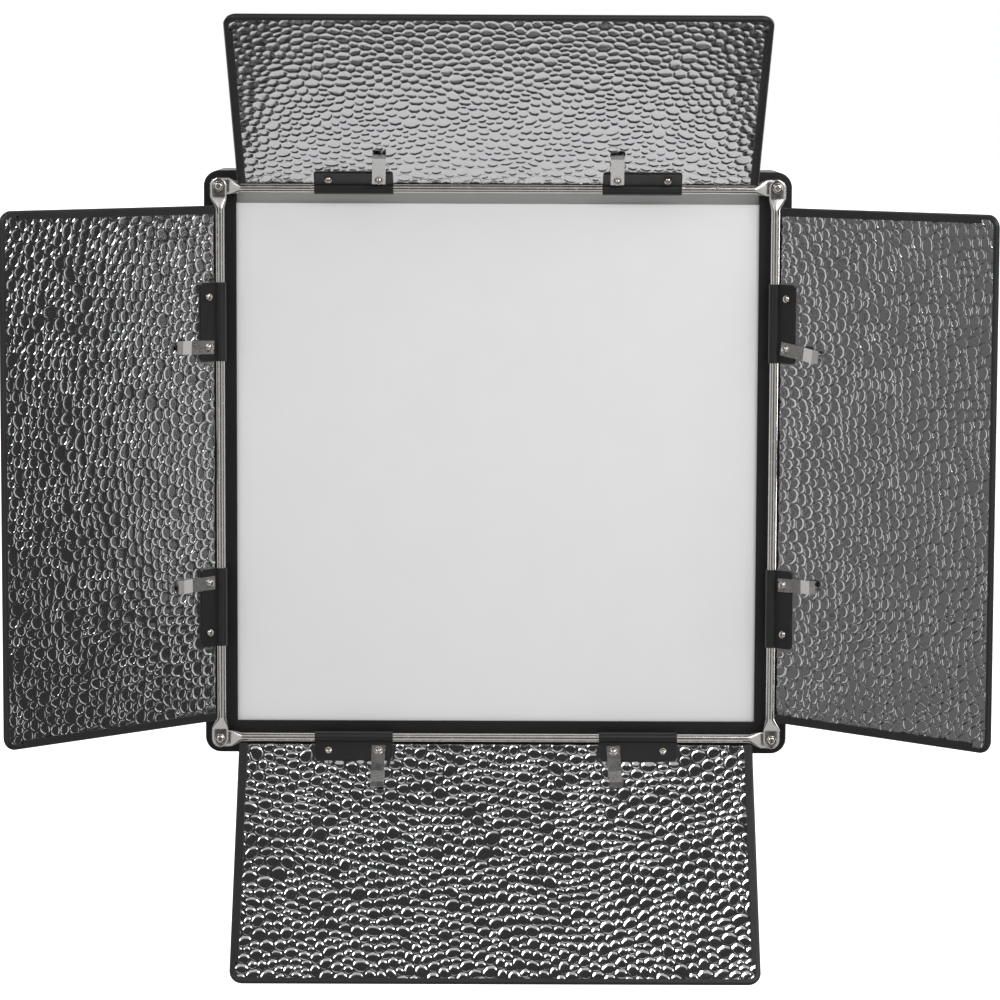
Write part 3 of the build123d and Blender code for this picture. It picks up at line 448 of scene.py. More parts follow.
# Each slot's finish, named for the real material and how it was made.
FINISHES: dict[str, Finish] = {
    # Satin black powder coat: deep black that turns grey where light grazes it.
    "housing_coat": PowderCoat("aluminium_powder_coated_satin_black", "#1C1C1D", 0.42),
    "bezel_coat": PowderCoat("aluminium_powder_coated_fine_black", "#19191A", 0.44, peel_mm=0.6),
    # Thin coil coating on the door sheets: a little greyer and glossier.
    "door_coat": PowderCoat("aluminium_coil_coated_charcoal", "#2A2A2B", 0.4, peel_mm=0.7,
                            peel_depth_mm=0.012),
    "leaf_coat": PowderCoat("steel_powder_coated_black", "#212122", 0.38, peel_mm=0.8),
    "yoke_coat": PowderCoat("steel_powder_coated_matt_black", "#202021", 0.5, peel_mm=1.2,
                            peel_depth_mm=0.03),
    # Mirror-bright rolled sheet: reflections stay sharp in each hammer mark.
    "hammered_aluminium": RolledMetal("aluminium_hammered_bright_rolled", "#EDEDEE", 0.09,
                                      smear=0.03, line_depth_mm=0.0015, dull="#DCDCDE"),
    # Nickel gives the rods and screws their warm grey.
    "nickel_rod": PlatedMetal("steel_nickel_plated_drawn", "#ECE9E5", 0.22, depth_mm=0.001,
                              dull="#E0DCD6"),
    "nickel_screw": PlatedMetal("steel_nickel_plated_headed", "#EAE5DF", 0.18, grain_mm=0.4,
                                depth_mm=0.002, dull="#D6CFC7"),
    "clip_steel": RolledMetal("spring_steel_brushed", "#E4E3E1", 0.27, line_mm=0.18, run_mm=5.0,
                              line_depth_mm=0.002, dull="#D2D0CD"),
    "black_screw": PlatedMetal("steel_black_oxide", "#3A3A3C", 0.38),
    "spacer_nylon": Moulding("nylon_moulded_black", "#1B1B1B", 0.5),
    # Frosted acrylic scatters evenly, so it reads as flat white with no sharp gloss.
    "filter_acrylic": Moulding("acrylic_frosted_white", "#EDEDED", 0.5, grain_mm=0.35,
                               depth_mm=0.004, clouding=0.008),
    # Opal inner diffuser: its tone is a little darker and greyer than the filter's, partly the opal's
    # own tone and partly painted shade, so the strip seen above the filter reads grey.
    "opal_acrylic": Moulding("acrylic_opal_extruded", "#E2E2E0", 0.3, grain_mm=0.8,
                             depth_mm=0.003, clouding=0.01),
    "white_sheet": PowderCoat("aluminium_coated_matt_white", "#EAEAE8", 0.6, worn="#D8D8D6"),
    "lamp_board": CircuitBoard("glass_epoxy_white_mask", "#DADAD4", 0.45, track="#EFEFEA"),
    "phosphor": Moulding("silicone_phosphor_cast", "#E9C85A", 0.35, grain_mm=0.3),
    "bare_aluminium": RolledMetal("aluminium_milled", "#C9CACC", 0.36, line_mm=0.4, dull="#AFB0B2"),
    "driver_laminate": CircuitBoard("glass_epoxy_green_mask", "#14512F", 0.4),
    "component_case": Moulding("epoxy_moulded_black", "#1F2022", 0.4, grain_mm=0.3),
    "box_plastic": Moulding("abs_moulded_textured_black", "#1E1E1F", 0.52, grain_mm=0.7,
                            depth_mm=0.03),
    "window_acrylic": ClearPane("acrylic_clear_smoked", "#B9BDC0", 0.04),
    "pot_metal": PlatedMetal("zinc_die_cast_plated", "#B9B9B4", 0.35, dull="#9D9D98"),
    "knob_plastic": Moulding("abs_moulded_satin_black", "#19191A", 0.4, grain_mm=0.4),
    "rocker_plastic": Moulding("nylon_moulded_gloss_black", "#141415", 0.28, depth_mm=0.006),
    "switch_plastic": Moulding("nylon_moulded_charcoal", "#262627", 0.5),
    "inlet_metal": PlatedMetal("zinc_die_cast_nickel", "#BFBCB6", 0.3, dull="#A3A09A"),
    "receiver_cast": PowderCoat("aluminium_sand_cast_coated_black", "#232324", 0.5, peel_mm=1.6,
                                peel_depth_mm=0.07),
    "stud_steel": PlatedMetal("steel_zinc_plated_turned", "#C4C5C8", 0.3, dull="#A7A9AD"),
    "shoe_brass": PlatedMetal("brass_turned", "#D9B45F", 0.28, dull="#B98F3E"),
}


# ---- Reading the frame and finishing pieces ----

def body_of(node: str) -> str:
    """Finds the body that a CAD node belongs to.

    Args:
        node: name of the node

    Returns:
        Name of the body.
    """
    for body, members in FRAME["record"]["behaviour"]["bodies"].items():
        if node in members:
            return body
    raise KeyError(node)


def slot_of(node: str) -> str:
    """Finds the material slot that a CAD node takes its finish from.

    Args:
        node: name of the node

    Returns:
        Name of the slot.
    """
    for part in FRAME["record"]["subparts"]:
        if part["node"] == node:
            return part["material_slot"]
    raise KeyError(node)


def islands(node: str, into: Matrix) -> list[np.ndarray]:
    """Separate solids of a CAD node.

    Args:
        node: name of the node
        into: matrix that turns the points into the wanted frame

    Returns:
        One array of points for each solid, lowest X first.
    """
    bm = bmesh.new()
    bm.from_mesh(FRAME["nodes"][node].data)
    bmesh.ops.remove_doubles(bm, verts=bm.verts, dist=WELD)
    left = set(bm.verts)
    found = []
    while left:
        front = [left.pop()]
        solid = []
        while front:
            vert = front.pop()
            solid.append(into @ vert.co)
            for edge in vert.link_edges:
                other = edge.other_vert(vert)
                if other in left:
                    left.remove(other)
                    front.append(other)
        found.append(np.array(solid))
    bm.free()
    return sorted(found, key=lambda points: tuple(points.min(0).round(5)))


def keep(name: str, mesh: bpy.types.Mesh, body: str, slot: str, *nodes: str) -> bpy.types.Object:
    """Adds a finished mesh to the scene as a piece.

    Args:
        name: name of the piece
        mesh: mesh in the frame of the part
        body: CAD body that it moves with
        slot: material slot whose finish it takes
        nodes: CAD nodes that it stands for

    Returns:
        The piece.
    """
    mesh.name = name
    piece = in_scene(name, mesh)
    mesh.materials.clear()
    mesh.materials.append(FINISHES[slot].material())
    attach(piece, body)
    if nodes:
        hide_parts(*nodes)
    LOG.info("%s: %d faces on %s", name, len(mesh.polygons), body)
    return piece


def smooth(mesh: bpy.types.Mesh) -> None:
    """Shades every face of a mesh smooth."""
    mesh.polygons.foreach_set("use_smooth", [True] * len(mesh.polygons))


def evaluated(piece: bpy.types.Object) -> bpy.types.Mesh:
    """Applies the modifiers of a working object and removes it.

    Args:
        piece: the object

    Returns:
        Its plain mesh.
    """
    bpy.context.view_layer.update()
    graph = bpy.context.evaluated_depsgraph_get()
    made = bpy.data.meshes.new_from_object(piece.evaluated_get(graph))
    old = piece.data
    piece.modifiers.clear()
    bpy.data.objects.remove(piece)
    if old.users == 0:
        bpy.data.batch_remove([old])
    return made


def ease_edges(mesh: bpy.types.Mesh, width_mm: float, steps: int = 2,
               angle: float = 35.0) -> bpy.types.Mesh:
    """Rounds the sharp edges of a mesh and shades it smooth.

    Args:
        mesh: mesh to round, which is used up
        width_mm: width of the rounding
        steps: faces across the rounding
        angle: sharpest turn, in degrees, that is left alone

    Returns:
        The rounded mesh.
    """
    smooth(mesh)
    piece = in_scene("eased", mesh)
    bevel = piece.modifiers.new("Edges", "BEVEL")
    bevel.width = width_mm * MM
    bevel.segments = steps
    bevel.limit_method = "ANGLE"
    bevel.angle_limit = math.radians(angle)
    bevel.harden_normals = True
    bevel.use_clamp_overlap = True
    return evaluated(piece)


def softened(node: str, width_mm: float, steps: int = 2, angle: float = 35.0) -> bpy.types.Mesh:
    """Copies a CAD node's mesh, in clean faces with eased edges.

    Args:
        node: name of the node
        width_mm: width of the rounding
        steps: faces across the rounding
        angle: sharpest turn, in degrees, that is left alone

    Returns:
        The eased copy.
    """
    bm = bmesh.new()
    bm.from_mesh(FRAME["nodes"][node].data)
    bmesh.ops.remove_doubles(bm, verts=bm.verts, dist=2 * WELD)
    bmesh.ops.dissolve_degenerate(bm, edges=bm.edges, dist=WELD)
    bmesh.ops.dissolve_limit(bm, angle_limit=FLAT, verts=bm.verts, edges=bm.edges)
    mesh = to_mesh(bm, node)
    if "custom_normal" in mesh.attributes:
        mesh.attributes.remove(mesh.attributes["custom_normal"])
    return ease_edges(mesh, width_mm, steps, angle)


# ---- Node trees that build pieces ----

def new_tree(name: str, sockets: dict[str, tuple[str, object]]) -> tuple[
        bpy.types.NodeTree, bpy.types.Node, bpy.types.Node]:
    """Starts a geometry tree with named inputs.

    Args:
        name: name of the tree
        sockets: socket type and value of each input after the geometry

    Returns:
        The tree, its input node and its output node.
    """
    tree = bpy.data.node_groups.new(name, "GeometryNodeTree")
    tree.interface.new_socket("Geometry", in_out="INPUT", socket_type="NodeSocketGeometry")
    tree.interface.new_socket("Geometry", in_out="OUTPUT", socket_type="NodeSocketGeometry")
    for label, (kind, value) in sockets.items():
        socket = tree.interface.new_socket(label, in_out="INPUT", socket_type=kind)
        if value is not None:
            socket.default_value = value
    return tree, add(tree, "NodeGroupInput"), add(tree, "NodeGroupOutput")


def run_tree(name: str, mesh: bpy.types.Mesh, tree: bpy.types.NodeTree,
             values: dict[str, object]) -> bpy.types.Mesh:
    """Runs a geometry tree on a mesh.

    Args:
        name: name for the modifier
        mesh: mesh that goes in, which is used up
        tree: the tree
        values: values of its named inputs

    Returns:
        The plain result.
    """
    piece = in_scene(name, mesh)
    modifier = piece.modifiers.new(name, "NODES")
    modifier.node_group = tree
    for item in tree.interface.items_tree:
        if item.in_out == "INPUT" and item.name in values:
            modifier[item.identifier] = values[item.name]
    return evaluated(piece)


def end_tree(tree: bpy.types.NodeTree, given: bpy.types.Node, out: bpy.types.Node,
             made: bpy.types.NodeSocket) -> None:
    """Makes a tree's result real, gives it the tree's finish and sends it out.

    Args:
        tree: the tree
        given: its input node
        out: its output node
        made: the result
    """
    real = add(tree, "GeometryNodeRealizeInstances", None, {0: made})
    done = add(tree, "GeometryNodeSetMaterial", None, {
        0: real.outputs[0], "Material": given.outputs["Finish"]})
    tree.links.new(done.outputs[0], out.inputs[0])


@dataclass(frozen=True)
class Press:
    """One ring of a hammer mark, from its edge inwards.

    Attributes:
        name: name of the ring
        width: width of the ring, in metres
        slope: how steeply it goes down
        least: smallest share of a mark that it leaves inside
    """

    name: str
    width: float
    slope: float
    least: float


PRESSES = (Press("Rim", 0.55 * MM, 0.62, 0.42), Press("Band", 0.6 * MM, 0.2, 0.35))


def hammer_tree() -> bpy.types.NodeTree:
    """Presses a shallow dish into every cell of a net of points.

    Each cell of the net's dual becomes one hammer mark: a steep rim, a shallower band and a
    nearly flat bottom, rounded over by subdivision.

    Returns:
        The tree.
    """
    sockets = {}
    for press in PRESSES:
        sockets[f"{press.name} width"] = ("NodeSocketFloat", press.width)
        sockets[f"{press.name} slope"] = ("NodeSocketFloat", press.slope)
    sockets |= {"Unevenness": ("NodeSocketFloat", 0.25), "Seed": ("NodeSocketInt", 1),
                "Finish": ("NodeSocketMaterial", None)}
    tree, given, out = new_tree("hammer_marks", sockets)
    now = add(tree, "GeometryNodeDualMesh", None, {0: given.outputs["Geometry"]}).outputs[0]
    chosen = {}
    for step, press in enumerate(PRESSES):
        area = add(tree, "GeometryNodeInputMeshFaceArea").outputs[0]
        radius = reckon(tree, "SQRT", reckon(tree, "DIVIDE", area, math.pi))
        part = reckon(tree, "DIVIDE", given.outputs[f"{press.name} width"], radius)
        scale = reckon(tree, "MAXIMUM", reckon(tree, "SUBTRACT", 1.0, part), press.least)
        wide = reckon(tree, "MULTIPLY", reckon(tree, "SUBTRACT", 1.0, scale), radius)
        vary = add(tree, "FunctionNodeRandomValue", {"data_type": "FLOAT"}, {
            2: reckon(tree, "SUBTRACT", 1.0, given.outputs["Unevenness"]),
            3: reckon(tree, "ADD", 1.0, given.outputs["Unevenness"]),
            8: reckon(tree, "ADD", given.outputs["Seed"], step)})
        slant = reckon(tree, "MULTIPLY", given.outputs[f"{press.name} slope"], vary.outputs[1])
        sink = reckon(tree, "MULTIPLY", reckon(tree, "MULTIPLY", wide, slant), -1.0)
        held = add(tree, "GeometryNodeCaptureAttribute", {"domain": "FACE"})
        held.capture_items.new("FLOAT", "scale")
        held.capture_items.new("FLOAT", "sink")
        connect(tree, held, {0: now, 1: scale, 2: sink})
        pressed = add(tree, "GeometryNodeExtrudeMesh", {"mode": "FACES"}, {
            0: held.outputs[0], "Offset": (0.0, 0.0, 1.0), "Offset Scale": held.outputs[2],
            "Individual": True, **chosen})
        chosen = {"Selection": pressed.outputs[1]}
        now = add(tree, "GeometryNodeScaleElements", {"domain": "FACE"}, {
            0: pressed.outputs[0], "Scale": held.outputs[1], **chosen}).outputs[0]
    fine = add(tree, "GeometryNodeSubdivisionSurface", None, {0: now, "Level": 1})
    soft = add(tree, "GeometryNodeSetShadeSmooth", None, {0: fine.outputs[0]})
    end_tree(tree, given, out, soft.outputs[0])
    return tree


def fastener_tree() -> bpy.types.NodeTree:
    """Sets a fastener on every point, along the point's own axis and turned by its own spin.

    Returns:
        The tree.
    """
    tree, given, out = new_tree("fastener_set", {
        "Fastener": ("NodeSocketObject", None),
        "Size": ("NodeSocketFloat", 1.0),
        "Finish": ("NodeSocketMaterial", None),
    })
    axis = add(tree, "GeometryNodeInputNamedAttribute", {"data_type": "FLOAT_VECTOR"}, {0: "axis"})
    spin = add(tree, "GeometryNodeInputNamedAttribute", {"data_type": "FLOAT"}, {0: "spin"})
    stand = add(tree, "FunctionNodeAlignRotationToVector", {"axis": "Z"}, {
        "Vector": axis.outputs[0]})
    about = add(tree, "FunctionNodeAxisAngleToRotation", None, {
        "Axis": (0.0, 0.0, 1.0), "Angle": spin.outputs[0]})
    turned = add(tree, "FunctionNodeRotateRotation", {"rotation_space": "LOCAL"}, {
        0: stand.outputs[0], 1: about.outputs[0]})
    source = add(tree, "GeometryNodeObjectInfo", None, {0: given.outputs["Fastener"]})
    points = add(tree, "GeometryNodeMeshToPoints", None, {0: given.outputs["Geometry"]})
    placed = add(tree, "GeometryNodeInstanceOnPoints", None, {
        "Points": points.outputs[0], "Instance": source.outputs["Geometry"],
        "Rotation": turned.outputs[0], "Scale": given.outputs["Size"]})
    end_tree(tree, given, out, placed.outputs[0])
    return tree


# ---- Barn doors ----

class Side(Enum):
    """The four sides of the head that carry a door."""

    TOP = "top"
    LEFT = "left"
    RIGHT = "right"
    BOTTOM = "bottom"


@dataclass
class DoorFrame:
    """A door's own frame: U along its rod, V outwards along the door, N out of its front."""

    side: Side
    matrix: Matrix = field(init=False)

    def __post_init__(self) -> None:
        """Reads the rod from the joint and the slope of the door from its sheet."""
        name = self.side.value
        joint = next(j for j in FRAME["joints"] if j["name"] == f"door_{name}_swing")
        mesh = FRAME["nodes"][f"door_{name}_reflector"].data
        rod = Vector(joint["axis"]).normalized()
        broad = max((f for f in mesh.polygons if f.normal.y < -0.1), key=lambda f: f.area)
        n = (broad.normal - broad.normal.dot(rod) * rod).normalized()
        points = np.array([v.co for v in mesh.vertices])
        middle = Vector((points.min(0) + points.max(0)) / 2)
        start = Vector(joint["pos_m"])
        start += (middle - start).dot(rod) * rod
        v = (middle - start) - (middle - start).dot(n) * n
        v.normalize()
        u = v.cross(n)
        self.matrix = Matrix.Translation(start) @ Matrix((u, v, n)).transposed().to_4x4()

    def box(self, node: str) -> tuple[Vector, Vector]:
        """Lowest and highest corner of a CAD node in the door's frame."""
        back = self.matrix.inverted()
        points = np.array([back @ v.co for v in FRAME["nodes"][node].data.vertices])
        return Vector(points.min(0)), Vector(points.max(0))

    def boxes(self, node: str) -> list[tuple[np.ndarray, np.ndarray]]:
        """The same for each separate solid of a CAD node."""
        return [(p.min(0), p.max(0)) for p in islands(node, self.matrix.inverted())]

    def place(self, mesh: bpy.types.Mesh) -> bpy.types.Mesh:
        """Moves a mesh from the door's frame to the part's."""
        mesh.transform(self.matrix)
        return mesh


@dataclass
class BarnDoor:
    """One barn door: folded sheet, hammered reflector, hinge leaves and their screws.

    Attributes:
        frame: the door's own frame
        seed: seed of its hammer marks and of the turn of its screws
        rim_w: width of the rolled outer rim
        hem_w: width of the side hems
        hem_stop: how far short of the outer edge the hems stop
        sheet_t: thickness of the back sheet
        corner_r: radius of the outer corners
        corner_steps: faces round a corner
        rim_round: radius of the fold
        rim_steps: faces round a quarter of the fold
        fold_ease: rounding of the folded sheet's edges, in millimetres
        leaf_ease: rounding of the hinge leaves' edges, in millimetres
        cell: usual distance between hammer marks
        crowding: least and most room that a mark takes, as shares of the cell
        net_spare: how far the net reaches past the sheet, in cells
        net_bin: size of the bins that the net's points are sorted into, in cells
        net_tries: places tried for each cell
        pressed: distance over which the marks fade out beside a leaf
        ridge_drop: how far the ridges between marks lie under the CAD sheet's face
        trim_turns: turns of the planes that trim a corner, in degrees
    """

    frame: DoorFrame
    seed: int
    rim_w: float = 2.9 * MM
    hem_w: float = 5.0 * MM
    hem_stop: float = 12.5 * MM
    sheet_t: float = 0.8 * MM
    corner_r: float = 7.5 * MM
    corner_steps: int = 12
    rim_round: float = 1.35 * MM
    rim_steps: int = 6
    fold_ease: float = 0.18
    leaf_ease: float = 0.22
    cell: float = 5.2 * MM
    crowding: tuple[float, float] = (0.72, 1.28)
    net_spare: float = 2.0
    net_bin: float = 1.5
    net_tries: int = 26
    pressed: float = 2.0 * MM
    ridge_drop: float = 0.04 * MM
    trim_turns: tuple[float, ...] = (22.5, 45.0, 67.5)

    @property
    def name(self) -> str:
        """Name of the door's CAD body, which its nodes' names begin with."""
        return f"door_{self.frame.side.value}"

    def build(self, hammer: bpy.types.NodeTree, fasteners: "Fasteners") -> None:
        """Builds every visual piece of the door.

        Args:
            hammer: tree that presses the hammer marks
            fasteners: the light's screws and nuts
        """
        name = self.name
        keep(f"{name}_folded_sheet", self.folded_sheet(), name, "door_coat", f"{name}_sheet")
        keep(f"{name}_hammered_face", self.hammered_face(hammer), name, "hammered_aluminium",
             f"{name}_reflector")
        keep(f"{name}_rolled_leaves", softened(f"{name}_leaves", self.leaf_ease), name,
             "leaf_coat", f"{name}_leaves")
        self.screws(fasteners)

    def folded_sheet(self) -> bpy.types.Mesh:
        """Back sheet whose edge is folded round into side hems and a rolled outer rim.

        Returns:
            The sheet in the frame of the part.
        """
        low, high = self.frame.box(f"{self.name}_sheet")
        path = self.outline(high.x, low.y, high.y)
        bm = bmesh.new()
        grid = []
        for x, y, nx, ny, width in path:
            profile = self.hem_profile(width, low.z, high.z)
            grid.append([bm.verts.new((x + nx * d, y + ny * d, n)) for d, n in profile])
        for one, two in zip(grid, grid[1:]):
            for k in range(len(one) - 1):
                bm.faces.new((one[k], one[k + 1], two[k + 1], two[k]))
        bm.faces.new([row[0] for row in grid])
        bm.faces.new([row[-1] for row in reversed(grid)])
        bm.faces.new(grid[0])
        bm.faces.new(list(reversed(grid[-1])))
        bm.faces.new((grid[0][0], grid[-1][0], grid[-1][-1], grid[0][-1]))
        bmesh.ops.remove_doubles(bm, verts=bm.verts, dist=0.1 * WELD)
        bmesh.ops.dissolve_degenerate(bm, edges=bm.edges, dist=0.1 * WELD)
        bmesh.ops.recalc_face_normals(bm, faces=bm.faces)
        return self.frame.place(ease_edges(to_mesh(bm, "folded_sheet"), self.fold_ease, 2, 50.0))

    def outline(self, half: float, start: float, reach: float) -> list[tuple[float, ...]]:
        """Outline of the sheet from its hinge edge round the outer edge and back.

        Args:
            half: half the width of the sheet
            start: where the sheet starts, outwards from the rod
            reach: where it ends

        Returns:
            Place, inward direction and width of the fold, point by point.
        """
        r, stop = self.corner_r, reach - self.hem_stop
        ins = [(-half, start, 1, 0, self.hem_w), (-half, stop, 1, 0, self.hem_w),
               (-half, stop, 1, 0, self.rim_w)]
        for i in range(self.corner_steps + 1):
            a = math.pi - i * math.pi / (2 * self.corner_steps)
            ins.append((-half + r + r * math.cos(a), reach - r + r * math.sin(a),
                        -math.cos(a), -math.sin(a), self.rim_w))
        return ins + [(-x, y, -nx, ny, w) for x, y, nx, ny, w in reversed(ins)]

    def hem_profile(self, width: float, back: float, front: float) -> list[tuple[float, float]]:
        """Section of the fold from the sheet's inside, over the hem, round to its back.

        Args:
            width: width of the fold
            back: height of the sheet's back
            front: height of the fold's front

        Returns:
            Distance in from the outline and height, point by point.
        """
        t, r = self.sheet_t, self.rim_round
        points = [(t, back + t), (t, front - t), (width, front - t), (width, front)]
        quarter = [math.radians(90 / self.rim_steps * i) for i in range(self.rim_steps + 1)]
        points += [(r - r * math.cos(a), front - r + r * math.sin(a)) for a in reversed(quarter)]
        points += [(r - r * math.cos(a), back + r - r * math.sin(a)) for a in quarter[1:]]
        return points

    def net(self, low: Vector, high: Vector) -> bpy.types.Mesh:
        """Uneven net of points over the sheet, kept apart at random, joined into triangles.

        Args:
            low: lowest corner of the sheet in the door's frame
            high: its highest corner

        Returns:
            The net, lying flat.
        """
        rng = random.Random(self.seed)
        spare = self.net_spare * self.cell
        size = self.net_bin * self.cell
        points, bins = [], {}
        tries = int(self.net_tries * (high.x - low.x) * (high.y - low.y) / self.cell ** 2)
        for _ in range(tries):
            spot = Vector((rng.uniform(low.x - spare, high.x + spare),
                           rng.uniform(low.y - spare, high.y + spare)))
            room = self.cell * rng.uniform(*self.crowding)
            col, row = int(spot.x // size), int(spot.y // size)
            near = [p for i in (-1, 0, 1) for j in (-1, 0, 1)
                    for p in bins.get((col + i, row + j), [])]
            if all((spot - other).length > (room + space) / 2 for other, space in near):
                bins.setdefault((col, row), []).append((spot, room))
                points.append(spot)
        verts, _, faces, *_ = delaunay_2d_cdt(points, [], [], 0, 1e-7)
        mesh = bpy.data.meshes.new("net")
        mesh.from_pydata([(p.x, p.y, 0.0) for p in verts], [], faces)
        return mesh

    def hammered_face(self, hammer: bpy.types.NodeTree) -> bpy.types.Mesh:
        """Reflector sheet with its hammer marks, trimmed to the folded sheet.

        Args:
            hammer: tree that presses the hammer marks

        Returns:
            The sheet in the frame of the part.
        """
        low, high = self.frame.box(f"{self.name}_reflector")
        mesh = run_tree("hammered", self.net(low, high), hammer, {
            "Seed": self.seed, "Finish": FINISHES["hammered_aluminium"].material()})
        bm = bmesh.new()
        bm.from_mesh(mesh)
        bpy.data.meshes.remove(mesh)
        if sum(f.normal.z for f in bm.faces) < 0:
            bmesh.ops.reverse_faces(bm, faces=bm.faces)
        for co, no in self.trims(low, high):
            bmesh.ops.bisect_plane(bm, geom=bm.verts[:] + bm.edges[:] + bm.faces[:], dist=1e-7,
                                   plane_co=co, plane_no=no, clear_outer=True)
        leaves = self.frame.boxes(f"{self.name}_leaves")
        for vert in bm.verts:
            vert.co.z = high.z - self.ridge_drop + vert.co.z * self.relief(vert.co, leaves)
        rim = [e for e in bm.edges if e.is_boundary]
        walls = bmesh.ops.extrude_edge_only(bm, edges=rim)
        for vert in (g for g in walls["geom"] if isinstance(g, bmesh.types.BMVert)):
            vert.co.z = low.z
        bmesh.ops.triangulate(bm, faces=[f for f in bm.faces if len(f.verts) > 4])
        flat = bm.loops.layers.uv.new("plane")
        for face in bm.faces:
            for loop in face.loops:
                loop[flat].uv = loop.vert.co.xy
        made = to_mesh(bm, "hammered_face")
        smooth(made)
        return self.frame.place(made)

    def trims(self, low: Vector, high: Vector) -> list[tuple[tuple, tuple]]:
        """Planes that trim the sheet to its outline: four sides and two rounded corners.

        Args:
            low: lowest corner of the sheet in the door's frame
            high: its highest corner

        Returns:
            A point on each plane and its outward direction.
        """
        planes = [((low.x, 0, 0), (-1, 0, 0)), ((high.x, 0, 0), (1, 0, 0)),
                  ((0, low.y, 0), (0, -1, 0)), ((0, high.y, 0), (0, 1, 0))]
        r = self.corner_r - self.sheet_t
        for side in (-1, 1):
            cx = side * (high.x - r)
            for turn in self.trim_turns:
                nx, ny = side * math.cos(math.radians(turn)), math.sin(math.radians(turn))
                planes.append(((cx + r * nx, high.y - r + r * ny, 0), (nx, ny, 0)))
        return planes

    def relief(self, co: Vector, leaves: list) -> float:
        """Share of a hammer mark's depth that is left at a place.

        Args:
            co: the place in the door's frame
            leaves: lowest and highest corner of each hinge leaf

        Returns:
            One far from the leaves, and nought where they press the sheet flat.
        """
        share, band = 1.0, 0.5 * self.pressed
        for low, high in leaves:
            across = max(low[0] - co.x, co.x - high[0], 0.0)
            along = max(co.y - high[1], 0.0)
            share = min(share, max(0.0, (math.hypot(across, along) - band) / band))
        return share

    def screws(self, fasteners: "Fasteners") -> None:
        """Sets the leaf screws on the front and their nuts on the back.

        Args:
            fasteners: the light's screws and nuts
        """
        node, small = f"{self.name}_fasteners", fasteners.small
        heads, nuts = [], []
        axis = self.frame.matrix.to_3x3() @ Vector((0, 0, 1))
        rng = random.Random(self.seed)
        for low, high in self.frame.boxes(node):
            foot = Vector(((low[0] + high[0]) / 2, (low[1] + high[1]) / 2, high[2]))
            if foot.z > 0:
                foot.z -= small.head_h
                heads.append((self.frame.matrix @ foot, axis, rng.uniform(0, math.pi)))
            else:
                nuts.append((self.frame.matrix @ foot, -axis, rng.uniform(0, math.pi)))
        fasteners.set(f"{self.name}_screw_heads", small.head(), heads, self.name, "nickel_screw",
                      node)
        fasteners.set(f"{self.name}_nuts", small.nut(), nuts, self.name, "black_screw")


# ---- Screws ----

